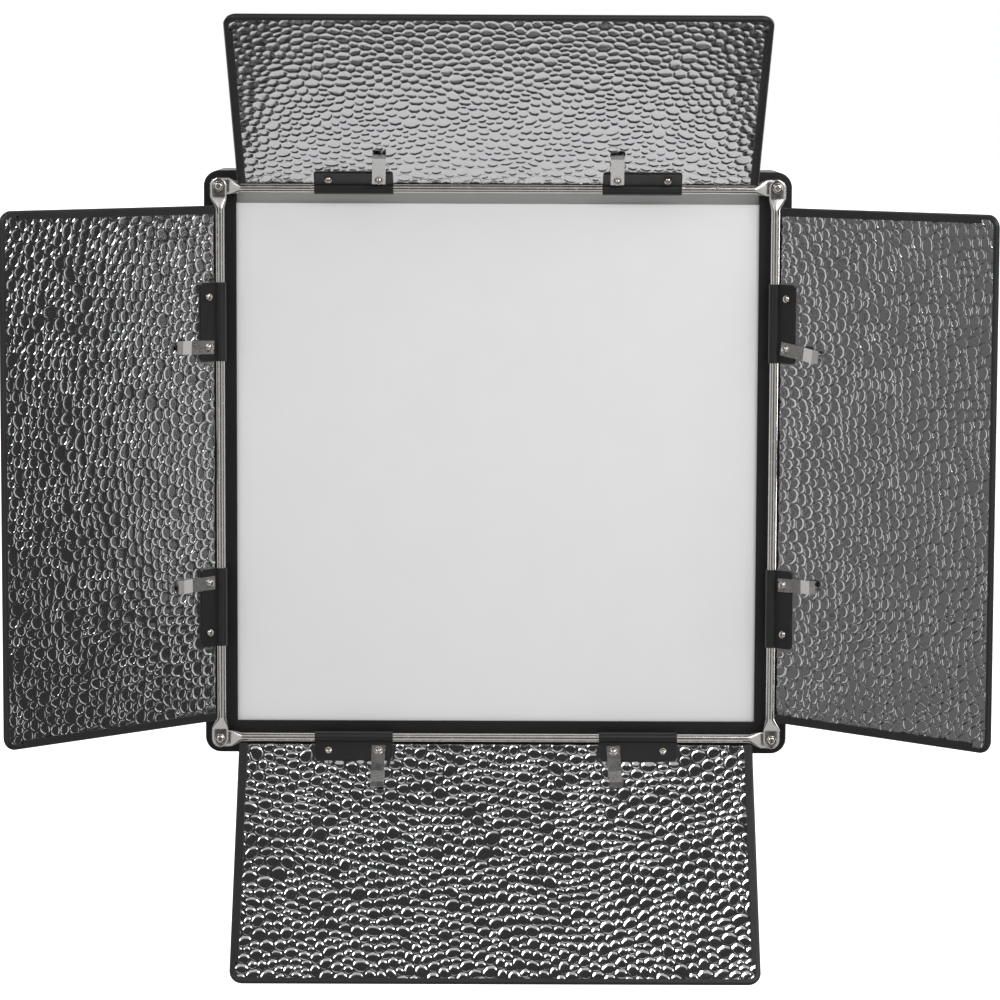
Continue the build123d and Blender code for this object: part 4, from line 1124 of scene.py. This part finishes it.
@dataclass
class CrossScrew:
    """Pan-head screw with a cross recess, and the nut for it, standing on Z = 0.

    Profiles are pairs of radius and height, as shares of the head's or nut's own; the tip's radii
    are shares of the thread's. The recess is given by its length and width as shares of the
    head's radius, the share that is left at its foot, and its top and foot as shares of the height.
    """

    radius: float
    head_r: float
    head_h: float
    nut_af: float = 5.0 * MM
    nut_h: float = 2.0 * MM
    steps: int = 18
    dome: tuple[tuple[float, float], ...] = (
        (0, -0.1), (0.96, -0.1), (1, 0.12), (0.98, 0.42), (0.86, 0.72), (0.6, 0.93), (0.3, 1), (0, 1))
    recess: tuple[float, float] = (1.16, 0.27)
    recess_foot: float = 0.45
    recess_z: tuple[float, float] = (0.2, -0.5)
    hexagon: tuple[tuple[float, float], ...] = ((0, 0), (0.97, 0), (1, 0.08), (1, 0.88), (0.88, 1))
    tip: tuple[tuple[float, float], ...] = ((1.2, 1), (1, 0.92), (1, 1.14), (0.7, 1.2), (0, 1.2))

    def turned(self, profile: list[tuple[float, float]], steps: int, name: str) -> bpy.types.Mesh:
        """Solid of revolution.

        Args:
            profile: radius and height, point by point
            steps: faces around
            name: name for the mesh

        Returns:
            The solid.
        """
        bm = bmesh.new()
        rings = []
        for r, z in profile:
            if r == 0:
                rings.append([bm.verts.new((0, 0, z))] * steps)
                continue
            angles = [2 * math.pi * i / steps for i in range(steps)]
            rings.append([bm.verts.new((r * math.cos(a), r * math.sin(a), z)) for a in angles])
        for low, high in zip(rings, rings[1:]):
            for i in range(steps):
                j = (i + 1) % steps
                bm.faces.new(tuple(dict.fromkeys((low[i], low[j], high[j], high[i]))))
        bmesh.ops.recalc_face_normals(bm, faces=bm.faces)
        return to_mesh(bm, name)

    def cutter(self, turn: float) -> bpy.types.Object:
        """Tapered bar that cuts one arm of the recess.

        Args:
            turn: turn of the arm, in radians

        Returns:
            The working object.
        """
        long, wide = self.recess
        r, h = self.head_r, self.head_h
        bm = bmesh.new()
        bmesh.ops.create_cube(bm, size=1.0)
        for vert in bm.verts:
            top = vert.co.z > 0
            taper = 1.0 if top else self.recess_foot
            vert.co = Vector((vert.co.x * long * r * taper, vert.co.y * wide * r * taper,
                              h + self.recess_z[0 if top else 1] * h))
        bmesh.ops.rotate(bm, verts=bm.verts, matrix=Matrix.Rotation(turn, 3, "Z"))
        return in_scene("cutter", to_mesh(bm, "cutter"))

    def head(self) -> bpy.types.Mesh:
        """Domed head with a cross recess cut into it.

        Returns:
            The head.
        """
        profile = [(x * self.head_r, z * self.head_h) for x, z in self.dome]
        piece = in_scene("head", self.turned(profile, self.steps, "head"))
        cutters = [self.cutter(turn) for turn in (0, math.pi / 2)]
        for cutter in cutters:
            carve = piece.modifiers.new("Recess", "BOOLEAN")
            carve.operation = "DIFFERENCE"
            carve.solver = "EXACT"
            carve.object = cutter
        made = evaluated(piece)
        for cutter in cutters:
            tool = cutter.data
            bpy.data.objects.remove(cutter)
            bpy.data.meshes.remove(tool)
        return ease_edges(made, 0.05, 1, 40.0)

    def nut(self) -> bpy.types.Mesh:
        """Hexagon nut with chamfered corners and the screw's tip standing out of it.

        Returns:
            The nut.
        """
        r, h = self.nut_af / math.sqrt(3), self.nut_h
        profile = [(x * r, z * h) for x, z in self.hexagon]
        profile += [(x * self.radius, z * h) for x, z in self.tip]
        return ease_edges(self.turned(profile, 6, "nut"), 0.08, 1, 25.0)


@dataclass
class Fasteners:
    """All the screws and nuts of the light, set on points by one geometry tree."""

    tree: bpy.types.NodeTree
    small: CrossScrew = field(default_factory=lambda: CrossScrew(1.25 * MM, 2.4 * MM, 1.8 * MM))
    medium: CrossScrew = field(default_factory=lambda: CrossScrew(1.5 * MM, 3.0 * MM, 2.2 * MM))
    large: CrossScrew = field(default_factory=lambda: CrossScrew(2.5 * MM, 4.5 * MM, 2.8 * MM))

    def set(self, name: str, shape: bpy.types.Mesh, places: list, body: str, slot: str,
            *nodes: str) -> bpy.types.Object:
        """Sets one kind of fastener.

        Args:
            name: name of the piece
            shape: the fastener, standing on Z = 0
            places: foot, axis and spin of each
            body: CAD body that they move with
            slot: their material slot
            nodes: CAD nodes that they stand for

        Returns:
            The piece.
        """
        mesh = bpy.data.meshes.new("points")
        mesh.from_pydata([tuple(foot) for foot, _, _ in places], [], [])
        axes = mesh.attributes.new("axis", "FLOAT_VECTOR", "POINT")
        axes.data.foreach_set("vector", [c for _, axis, _ in places for c in axis])
        spins = mesh.attributes.new("spin", "FLOAT", "POINT")
        spins.data.foreach_set("value", [spin for _, _, spin in places])
        source = in_scene("fastener", shape)
        made = run_tree("fasteners", mesh, self.tree, {
            "Fastener": source, "Size": 1.0, "Finish": FINISHES[slot].material()})
        bpy.data.objects.remove(source)
        bpy.data.meshes.remove(shape)
        return keep(name, made, body, slot, *nodes)

    def read(self, node: str, axis: tuple[float, float, float], seat: float, seed: int) -> list:
        """Reads where the screws of a CAD node stand.

        Args:
            node: name of the node
            axis: which way their heads point
            seat: where their feet are along Y
            seed: seed of their spins

        Returns:
            Foot, axis and spin of each.
        """
        rng = random.Random(seed)
        places = []
        for points in islands(node, Matrix.Identity(4)):
            middle = (points.min(0) + points.max(0)) / 2
            places.append((Vector((middle[0], seat, middle[2])), Vector(axis),
                           rng.uniform(0, math.pi)))
        return places

    def build(self) -> None:
        """Corner screws, housing screws and receiver bolts."""
        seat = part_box("corner_screws")[0].y + self.medium.head_h
        self.set("corner_screw_heads", self.medium.head(),
                 self.read("corner_screws", (0, -1, 0), seat, seed=5),
                 "head", "nickel_screw", "corner_screws")
        low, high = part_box("control_box")
        places = self.read("housing_screws", (0, 1, 0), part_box("back_cover")[1].y, seed=9)
        for foot, _, _ in places:
            if low.z < foot.z < high.z and abs(foot.x) < high.x:
                foot.y = high.y
        self.set("housing_screw_heads", self.medium.head(), places, "head", "black_screw",
                 "housing_screws")
        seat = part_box("receiver_bolts")[1].y - self.large.head_h
        self.set("receiver_bolt_heads", self.large.head(),
                 self.read("receiver_bolts", (0, 1, 0), seat, seed=11), "yoke", "black_screw",
                 "receiver_bolts")


# ---- Gel clips ----

@dataclass
class GelClip:
    """Spring clip on a leaf screw: a strip bent twice, with its end turned over."""

    frame: DoorFrame
    end: str
    ease: float = 0.3
    ease_steps: int = 3
    ease_angle: float = 8.0

    def build(self) -> None:
        """Builds the strip from the CAD solid with its corners and bends rounded."""
        node = f"clip_{self.frame.side.value}_{self.end}"
        mesh = softened(node, self.ease, self.ease_steps, self.ease_angle)
        self.unroll(mesh)
        keep(f"{node}_strip", mesh, node, "clip_steel", node)

    def unroll(self, mesh: bpy.types.Mesh) -> None:
        """Gives the strip a UV map with U along its length, so that brushing follows it.

        Args:
            mesh: the strip
        """
        back = self.frame.matrix.inverted()
        flat = mesh.uv_layers.new(name="strip")
        for loop in mesh.loops:
            co = back @ mesh.vertices[loop.vertex_index].co
            flat.data[loop.index].uv = (co.y + co.z, co.x)


# ---- Rods ----

@dataclass
class RodSet:
    """Door rods: drawn bars whose ends are pressed flat into eyes.

    Attributes:
        rod_r: radius of the bar
        eye_w: width of the eye
        eye_t: thickness of the eye
        eye_inset: distance from the end of the rod to the middle of the eye
        eye_shares: rings round the eye's end, as shares of the inset
        shank: rings between the eye and the taper, measured from the middle of the eye
        taper: where the eye starts to turn into the bar and where it has done so
        taper_steps: rings over the taper
        taper_spare: how far those rings reach past either end of it
        straight: share of the taper that runs straight; the rest is a smooth curve
        rod_inset: how far the bar lies inwards of the eye
        squareness: power of the section's curve over the bar, and what the eye adds
        around: points round a ring
    """

    rod_r: float = 2.5 * MM
    eye_w: float = 9.7 * MM
    eye_t: float = 1.6 * MM
    eye_inset: float = 4.85 * MM
    eye_shares: tuple[float, ...] = (-1.0, -0.985, -0.93, -0.82, -0.65, -0.45, -0.2, 0.0)
    shank: tuple[float, ...] = (2 * MM, 4 * MM)
    taper: tuple[float, float] = (6.0 * MM, 12.7 * MM)
    taper_steps: int = 16
    taper_spare: float = 0.8 * MM
    straight: float = 0.7
    rod_inset: float = 1.0 * MM
    squareness: tuple[float, float] = (2.0, 0.9)
    around: int = 28

    def build(self) -> None:
        """Builds all four rods as one piece."""
        bm = bmesh.new()
        for points in islands("door_rods", Matrix.Identity(4)):
            self.rod(bm, Vector(points.min(0)), Vector(points.max(0)))
        bmesh.ops.recalc_face_normals(bm, faces=bm.faces)
        mesh = to_mesh(bm, "rods")
        smooth(mesh)
        keep("door_rods_drawn", mesh, "head", "nickel_rod", "door_rods")

    def rod(self, bm: bmesh.types.BMesh, low: Vector, high: Vector) -> None:
        """Adds one rod.

        Args:
            bm: mesh that it goes into
            low: lowest corner of its CAD box
            high: highest corner of its CAD box
        """
        size, middle = high - low, (low + high) / 2
        along, across = Vector((1, 0, 0)), Vector((0, 0, 1))
        if size.x <= size.z:
            along, across = across, along
        side = 1 if middle.dot(across) > 0 else -1
        outward = across * side
        edge = (high if side > 0 else low).dot(across) * side
        centre = Vector((0, middle.y, 0)) + outward * (edge - self.eye_w / 2)
        centre += along * middle.dot(along)
        eye = size.dot(along) / 2 - self.eye_inset
        stations = [share * self.eye_inset for share in self.eye_shares] + list(self.shank)
        stations += list(np.linspace(self.taper[0] - self.taper_spare,
                                     self.taper[1] + self.taper_spare, self.taper_steps))
        rows = []
        for sign, run in ((-1, stations), (1, stations[::-1])):
            for s in run:
                at = centre + along * sign * (eye - s)
                rows.append([bm.verts.new(at + outward * x + Vector((0, y, 0)))
                             for x, y in self.ring(s)])
        for one, two in zip(rows, rows[1:]):
            for i in range(self.around):
                j = (i + 1) % self.around
                bm.faces.new((one[i], one[j], two[j], two[i]))
        bm.faces.new(rows[0])
        bm.faces.new(list(reversed(rows[-1])))

    def ring(self, s: float) -> list[tuple[float, float]]:
        """Section of a rod.

        Args:
            s: distance inwards from the middle of the eye

        Returns:
            Outward and forward place of each point, round or squared off.
        """
        near, far = self.taper
        t = min(max((s - near) / (far - near), 0.0), 1.0)
        t = self.straight * t + (1 - self.straight) * t * t * (3 - 2 * t)
        wide = self.eye_w / 2 * (1 - t) + self.rod_r * t
        if s < 0:
            wide = max(math.sqrt(max(self.eye_inset ** 2 - s * s, 0)), 0.25 * MM)
        thick = self.eye_t / 2 * (1 - t) + self.rod_r * t
        power = self.squareness[0] + self.squareness[1] * (1 - t)
        points = []
        for i in range(self.around):
            a = 2 * math.pi * i / self.around
            x, y = (math.copysign(abs(c) ** (2 / power), c) for c in (math.cos(a), math.sin(a)))
            points.append((x * wide - self.rod_inset * t, y * thick))
        return points


# ---- The rest of the light ----

@dataclass
class EasedParts:
    """Parts whose CAD shape is right and only needs its edges eased, in millimetres."""

    widths: dict[str, float] = field(default_factory=lambda: {
        "front_bezel": 0.3, "housing_shell": 0.35, "back_cover": 0.3, "filter_rails": 0.25,
        "diffusion_filter": 0.3, "control_box": 0.3, "pivot_bosses": 0.5,
        "yoke_bracket": 0.6, "stand_receiver": 0.5, "lock_knob": 0.5,
        "tilt_knob_left": 0.5, "tilt_knob_right": 0.5, "dimmer_knob": 0.25,
        "colour_knob": 0.25, "power_rocker": 0.3, "power_inlet": 0.25,
        "corner_spacers": 0.3,
    })

    def build(self) -> None:
        """Replaces each part by its eased copy."""
        for node, width in self.widths.items():
            keep(f"{node}_eased", softened(node, width), body_of(node), slot_of(node), node)


@dataclass
class ControlFace:
    """What the user reads on the back: the display's digits and the scales round the knobs.

    Attributes:
        dial_nodes: knobs that have a scale
        sweep: turn of a knob to either side, in degrees
        ticks: number of ticks on a scale
        tick: where a long tick starts and ends, outwards from the knob's middle
        tick_w: width of a tick
        short_tick: length of the ticks between the long ones
        figures_r: distance of the figures from the knob's middle
        figure_h: size of the figures
        raised: height of the print
        digit: width and height of a digit on the display
        pitch: distance between digits, as a share of their width
        stroke: width of a digit's strokes
        readings: numbers on the display and how far each stands from its middle
        plate_inset: how much smaller the display's plate is than the window
        plate_t: thickness of the plate
        plate_gap: gap between the window and the plate
    """

    dial_nodes: tuple[str, ...] = ("dimmer_knob", "colour_knob")
    sweep: float = 135.0
    ticks: int = 11
    tick: tuple[float, float] = (12.4 * MM, 14.2 * MM)
    tick_w: float = 0.4 * MM
    short_tick: float = 1.1 * MM
    figures_r: float = 17.0 * MM
    figure_h: float = 3.4 * MM
    raised: float = 0.08 * MM
    digit: tuple[float, float] = (5.2 * MM, 10.0 * MM)
    pitch: float = 1.15
    stroke: float = 1.2 * MM
    readings: tuple[tuple[str, float], ...] = (("100", 15.5 * MM), ("5600", -11.5 * MM))
    plate_inset: float = 5.0 * MM
    plate_t: float = 0.8 * MM
    plate_gap: float = 0.9 * MM

    STROKES = {"0": "abcdef", "1": "bc", "5": "acdfg", "6": "acdefg"}

    def build(self) -> None:
        """Builds the scales and the display."""
        self.scales()
        self.display()

    def bar(self, bm: bmesh.types.BMesh, at: Vector, size: tuple[float, float, float],
            turn: float = 0.0) -> None:
        """Adds a box turned about the line of sight.

        Args:
            bm: mesh that it goes into
            at: middle of the box
            size: its width, depth and height before it's turned
            turn: turn in radians, clockwise seen from the back
        """
        made = bmesh.ops.create_cube(bm, size=1.0)
        shape = Matrix.Rotation(-turn, 4, "Y") @ Matrix.Diagonal((*size, 1.0))
        bmesh.ops.transform(bm, verts=made["verts"], matrix=Matrix.Translation(at) @ shape)

    def around(self, centre: Vector, angle: float, radius: float) -> Vector:
        """Place at an angle from straight up, clockwise seen from the back."""
        return centre + Vector((-math.sin(angle), 0, math.cos(angle))) * radius

    def scales(self) -> None:
        """Adds ticks and figures from 0 to 100 round each knob."""
        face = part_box("control_box")[1].y
        bm = bmesh.new()
        for node in self.dial_nodes:
            low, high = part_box(node)
            centre = Vector(((low.x + high.x) / 2, face, (low.z + high.z) / 2))
            for i in range(self.ticks):
                angle = math.radians(self.sweep * (2 * i / (self.ticks - 1) - 1))
                long = self.short_tick if i % (self.ticks // 2) else self.tick[1] - self.tick[0]
                self.bar(bm, self.around(centre, angle, self.tick[0] + long / 2),
                         (self.tick_w, 2 * self.raised, long), angle)
            for text, angle in (("0", -self.sweep), ("50", 0.0), ("100", self.sweep)):
                self.figure(bm, text, self.around(centre, math.radians(angle), self.figures_r))
        keep("dial_scales_printed", to_mesh(bm, "scales"), "head", "white_sheet")

    def figure(self, bm: bmesh.types.BMesh, text: str, at: Vector) -> None:
        """Adds a raised number that reads from the back.

        Args:
            bm: mesh that it goes into
            text: the number
            at: its middle
        """
        curve = bpy.data.curves.new("figure", "FONT")
        curve.body, curve.size, curve.extrude = text, self.figure_h, self.raised
        curve.align_x, curve.align_y, curve.resolution_u = "CENTER", "CENTER", 3
        mesh = evaluated(in_scene("figure", curve))
        turn = Matrix(((-1, 0, 0), (0, 0, 1), (0, 1, 0))).to_4x4()
        mesh.transform(Matrix.Translation(at) @ turn)
        bm.from_mesh(mesh)
        bpy.data.meshes.remove(mesh)

    def display(self) -> None:
        """Adds a pale plate behind the window and a row of seven-stroke digits on it."""
        low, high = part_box("display_window")
        plate, digits = bmesh.new(), bmesh.new()
        middle = (low + high) / 2
        front = low.y - self.plate_gap
        self.bar(plate, Vector((middle.x, front - self.plate_t / 2, middle.z)),
                 (high.x - low.x - self.plate_inset, self.plate_t,
                  high.z - low.z - self.plate_inset))
        for text, right in self.readings:
            for i, sign in enumerate(text):
                x = middle.x + right - (i - (len(text) - 1) / 2) * self.pitch * self.digit[0]
                self.number(digits, sign, Vector((x, front + self.raised / 2, middle.z)))
        keep("display_plate", to_mesh(plate, "plate"), "head", "white_sheet")
        keep("display_digits", to_mesh(digits, "digits"), "head", "component_case")

    def number(self, bm: bmesh.types.BMesh, sign: str, at: Vector) -> None:
        """Adds one digit from its strokes, lettered clockwise from the top.

        Args:
            bm: mesh that it goes into
            sign: the digit
            at: its middle
        """
        wide, tall = self.digit[0] / 2 - self.stroke, self.digit[1] / 2 - self.stroke / 2
        gap, thick = 0.6 * self.stroke, 0.8 * self.stroke
        across = {"a": tall, "g": 0.0, "d": -tall}
        upright = {"b": (-wide, tall / 2), "c": (-wide, -tall / 2), "e": (wide, -tall / 2),
                   "f": (wide, tall / 2)}
        for stroke in self.STROKES[sign]:
            if stroke in across:
                self.bar(bm, at + Vector((0, 0, across[stroke])),
                         (2 * wide - gap, self.raised, thick))
            else:
                x, z = upright[stroke]
                self.bar(bm, at + Vector((x, 0, z)), (thick, self.raised, tall - gap))


def dress_carried() -> None:
    """Gives every CAD node its slot's finish."""
    for part in FRAME["record"]["subparts"]:
        mesh = FRAME["nodes"][part["node"]].data
        mesh.materials.clear()
        mesh.materials.append(FINISHES[part["material_slot"]].material())


# ---- Studio ----

@dataclass
class SoftLight:
    """A softbox, placed from the middle of the light's front face and aimed at it."""

    name: str
    place: tuple[float, float, float]
    size: tuple[float, float]
    radiance: float

    def build(self, centre: Vector) -> None:
        """Adds the softbox; its power follows from its radiance and area.

        Args:
            centre: middle of the light's front face
        """
        data = bpy.data.lights.new(self.name, "AREA")
        data.shape = "RECTANGLE"
        data.size, data.size_y = self.size
        data.energy = self.radiance * math.pi * self.size[0] * self.size[1]
        lamp = in_scene(self.name, data)
        lamp.location = centre + Vector(self.place)
        lamp.rotation_euler = Vector(self.place).to_track_quat("Z", "Y").to_euler()
        lamp.visible_camera = False


@dataclass
class Studio:
    """Floor, lights, surroundings and camera.

    Attributes:
        camera_place: place of the camera, in metres from the middle of the door rods
        pitch: how far it looks down, in degrees
        yaw: how far it looks to the right, in degrees
        roll: how far it leans, in degrees
        lens: its focal length, in millimetres
        sensor: width of its film, in millimetres
        clip: nearest and farthest that it sees
        floor_drop: how far the floor lies under the light
        floor_size: half the floor's width
        fill: brightness of the surroundings that lights rough surfaces
        dark: brightness of the surroundings where a mirror sees nothing
        glows: axis, start, full place and brightness of what mirrors see, along a direction
        hole: where the surroundings straight in front turn dark again
        lights: the softboxes
    """

    camera_place: tuple[float, float, float] = (-0.0031, -2.2804, 0.2252)
    pitch: float = 6.141
    yaw: float = 0.125
    roll: float = 0.231
    lens: float = 142.17
    sensor: float = 36.0
    clip: tuple[float, float] = (0.05, 200.0)
    floor_drop: float = 0.95
    floor_size: float = 60.0
    fill: float = 0.63
    dark: float = 0.035
    glows: tuple[tuple[str, float, float, float], ...] = (
        ("X", -0.75, -0.95, 0.14), ("Y", 0.3, 0.6, 0.95), ("Y", -0.5, -0.66, 0.55))
    hole: tuple[float, float] = (-0.955, -0.9)
    lights: tuple[SoftLight, ...] = (
        SoftLight("key_right", (0.6, -0.75, 0.6), (0.7, 0.45), 4.4),
        SoftLight("key_left", (-1.2, -1.6, 1.25), (0.6, 0.6), 5.0),
        SoftLight("rear_left", (-1.1, 1.5, 0.9), (1.2, 1.2), 7.0),
        SoftLight("rear_right", (1.3, 1.2, 0.3), (0.9, 1.3), 5.0),
    )

    def build(self) -> None:
        """Builds the studio round the light."""
        low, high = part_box("front_bezel")
        centre = Vector(((low.x + high.x) / 2, low.y, (low.z + high.z) / 2))
        for light in self.lights:
            light.build(centre)
        self.floor(CAD_BOX[0].z - self.floor_drop)
        self.surroundings()
        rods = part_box("door_rods")
        self.camera(Vector((centre.x, (rods[0].y + rods[1].y) / 2, centre.z)))
        scene = bpy.context.scene
        scene.view_settings.view_transform = "Standard"
        scene.view_settings.look = "None"

    def floor(self, height: float) -> None:
        """Adds a plain pale floor, kept out of mirror reflections.

        Args:
            height: its height
        """
        bm = bmesh.new()
        bmesh.ops.create_grid(bm, x_segments=2, y_segments=2, size=self.floor_size)
        bmesh.ops.translate(bm, verts=bm.verts, vec=(0, 0, height))
        mesh = to_mesh(bm, "floor")
        floor = in_scene("floor", mesh)
        paper = bpy.data.materials.new("paper_matt_white")
        paper.use_nodes = True
        connect(paper.node_tree, paper.node_tree.nodes["Principled BSDF"], {
            "Base Color": linear("#F4F4F4"), "Roughness": 0.9,
            "Emission Color": linear("#FFFFFF"), "Emission Strength": 1.0})
        mesh.materials.append(paper)
        floor.visible_glossy = False
        floor.visible_diffuse = False

    def surroundings(self) -> None:
        """White to look at and soft to light by, but dark where a mirror sees it."""
        world = bpy.data.worlds.new("studio")
        bpy.context.scene.world = world
        world.use_nodes = True
        tree = world.node_tree
        tree.nodes.clear()
        ray = add(tree, "ShaderNodeLightPath")
        way = add(tree, "ShaderNodeTexCoord")
        parts = add(tree, "ShaderNodeSeparateXYZ", None, {0: way.outputs["Generated"]})
        patches = [spread(tree, parts.outputs[axis], (start, full), (self.dark, amount), "SMOOTHSTEP")
                   for axis, start, full, amount in self.glows]
        glow = patches[0]
        for patch in patches[1:]:
            glow = reckon(tree, "MAXIMUM", glow, patch)
        hole = spread(tree, parts.outputs["Y"], self.hole, (self.dark, 1.0), "SMOOTHSTEP")
        glow = reckon(tree, "MINIMUM", glow, hole)
        soft = blend(tree, ray.outputs["Is Glossy Ray"], (self.fill, self.fill, self.fill, 1.0), glow)
        seen = blend(tree, ray.outputs["Is Camera Ray"], soft, linear("#FFFFFF"))
        sky = add(tree, "ShaderNodeBackground", None, {"Color": seen})
        add(tree, "ShaderNodeOutputWorld", None, {"Surface": sky.outputs[0]})

    def camera(self, origin: Vector) -> None:
        """Adds the camera at its place and turn.

        Args:
            origin: middle of the door rods
        """
        data = bpy.data.cameras.new("camera")
        data.lens = self.lens
        data.sensor_width = self.sensor
        data.clip_start, data.clip_end = self.clip
        eye = in_scene("camera", data)
        yaw, pitch, roll = (math.radians(a) for a in (self.yaw, self.pitch, self.roll))
        ahead = Vector((math.sin(yaw) * math.cos(pitch), math.cos(yaw) * math.cos(pitch),
                        -math.sin(pitch)))
        right = Vector((math.cos(yaw), -math.sin(yaw), 0))
        up = right.cross(ahead)
        turned_right = math.cos(roll) * right + math.sin(roll) * up
        turned_up = -math.sin(roll) * right + math.cos(roll) * up
        turn = Matrix((turned_right, turned_up, -ahead)).transposed().to_4x4()
        eye.matrix_world = Matrix.Translation(origin + Vector(self.camera_place)) @ turn
        bpy.context.scene.camera = eye


def main() -> None:
    """Builds the light piece by piece and sets up the studio."""
    logging.basicConfig(level=logging.INFO, format="%(name)s: %(message)s")
    dress_carried()
    hammer = hammer_tree()
    fasteners = Fasteners(fastener_tree())
    for seed, side in enumerate(Side, start=11):
        frame = DoorFrame(side)
        BarnDoor(frame, seed).build(hammer, fasteners)
        for end in ("a", "b"):
            GelClip(frame, end).build()
    RodSet().build()
    fasteners.build()
    EasedParts().build()
    ControlFace().build()
    Studio().build()


if __name__ == "__main__":
    main()
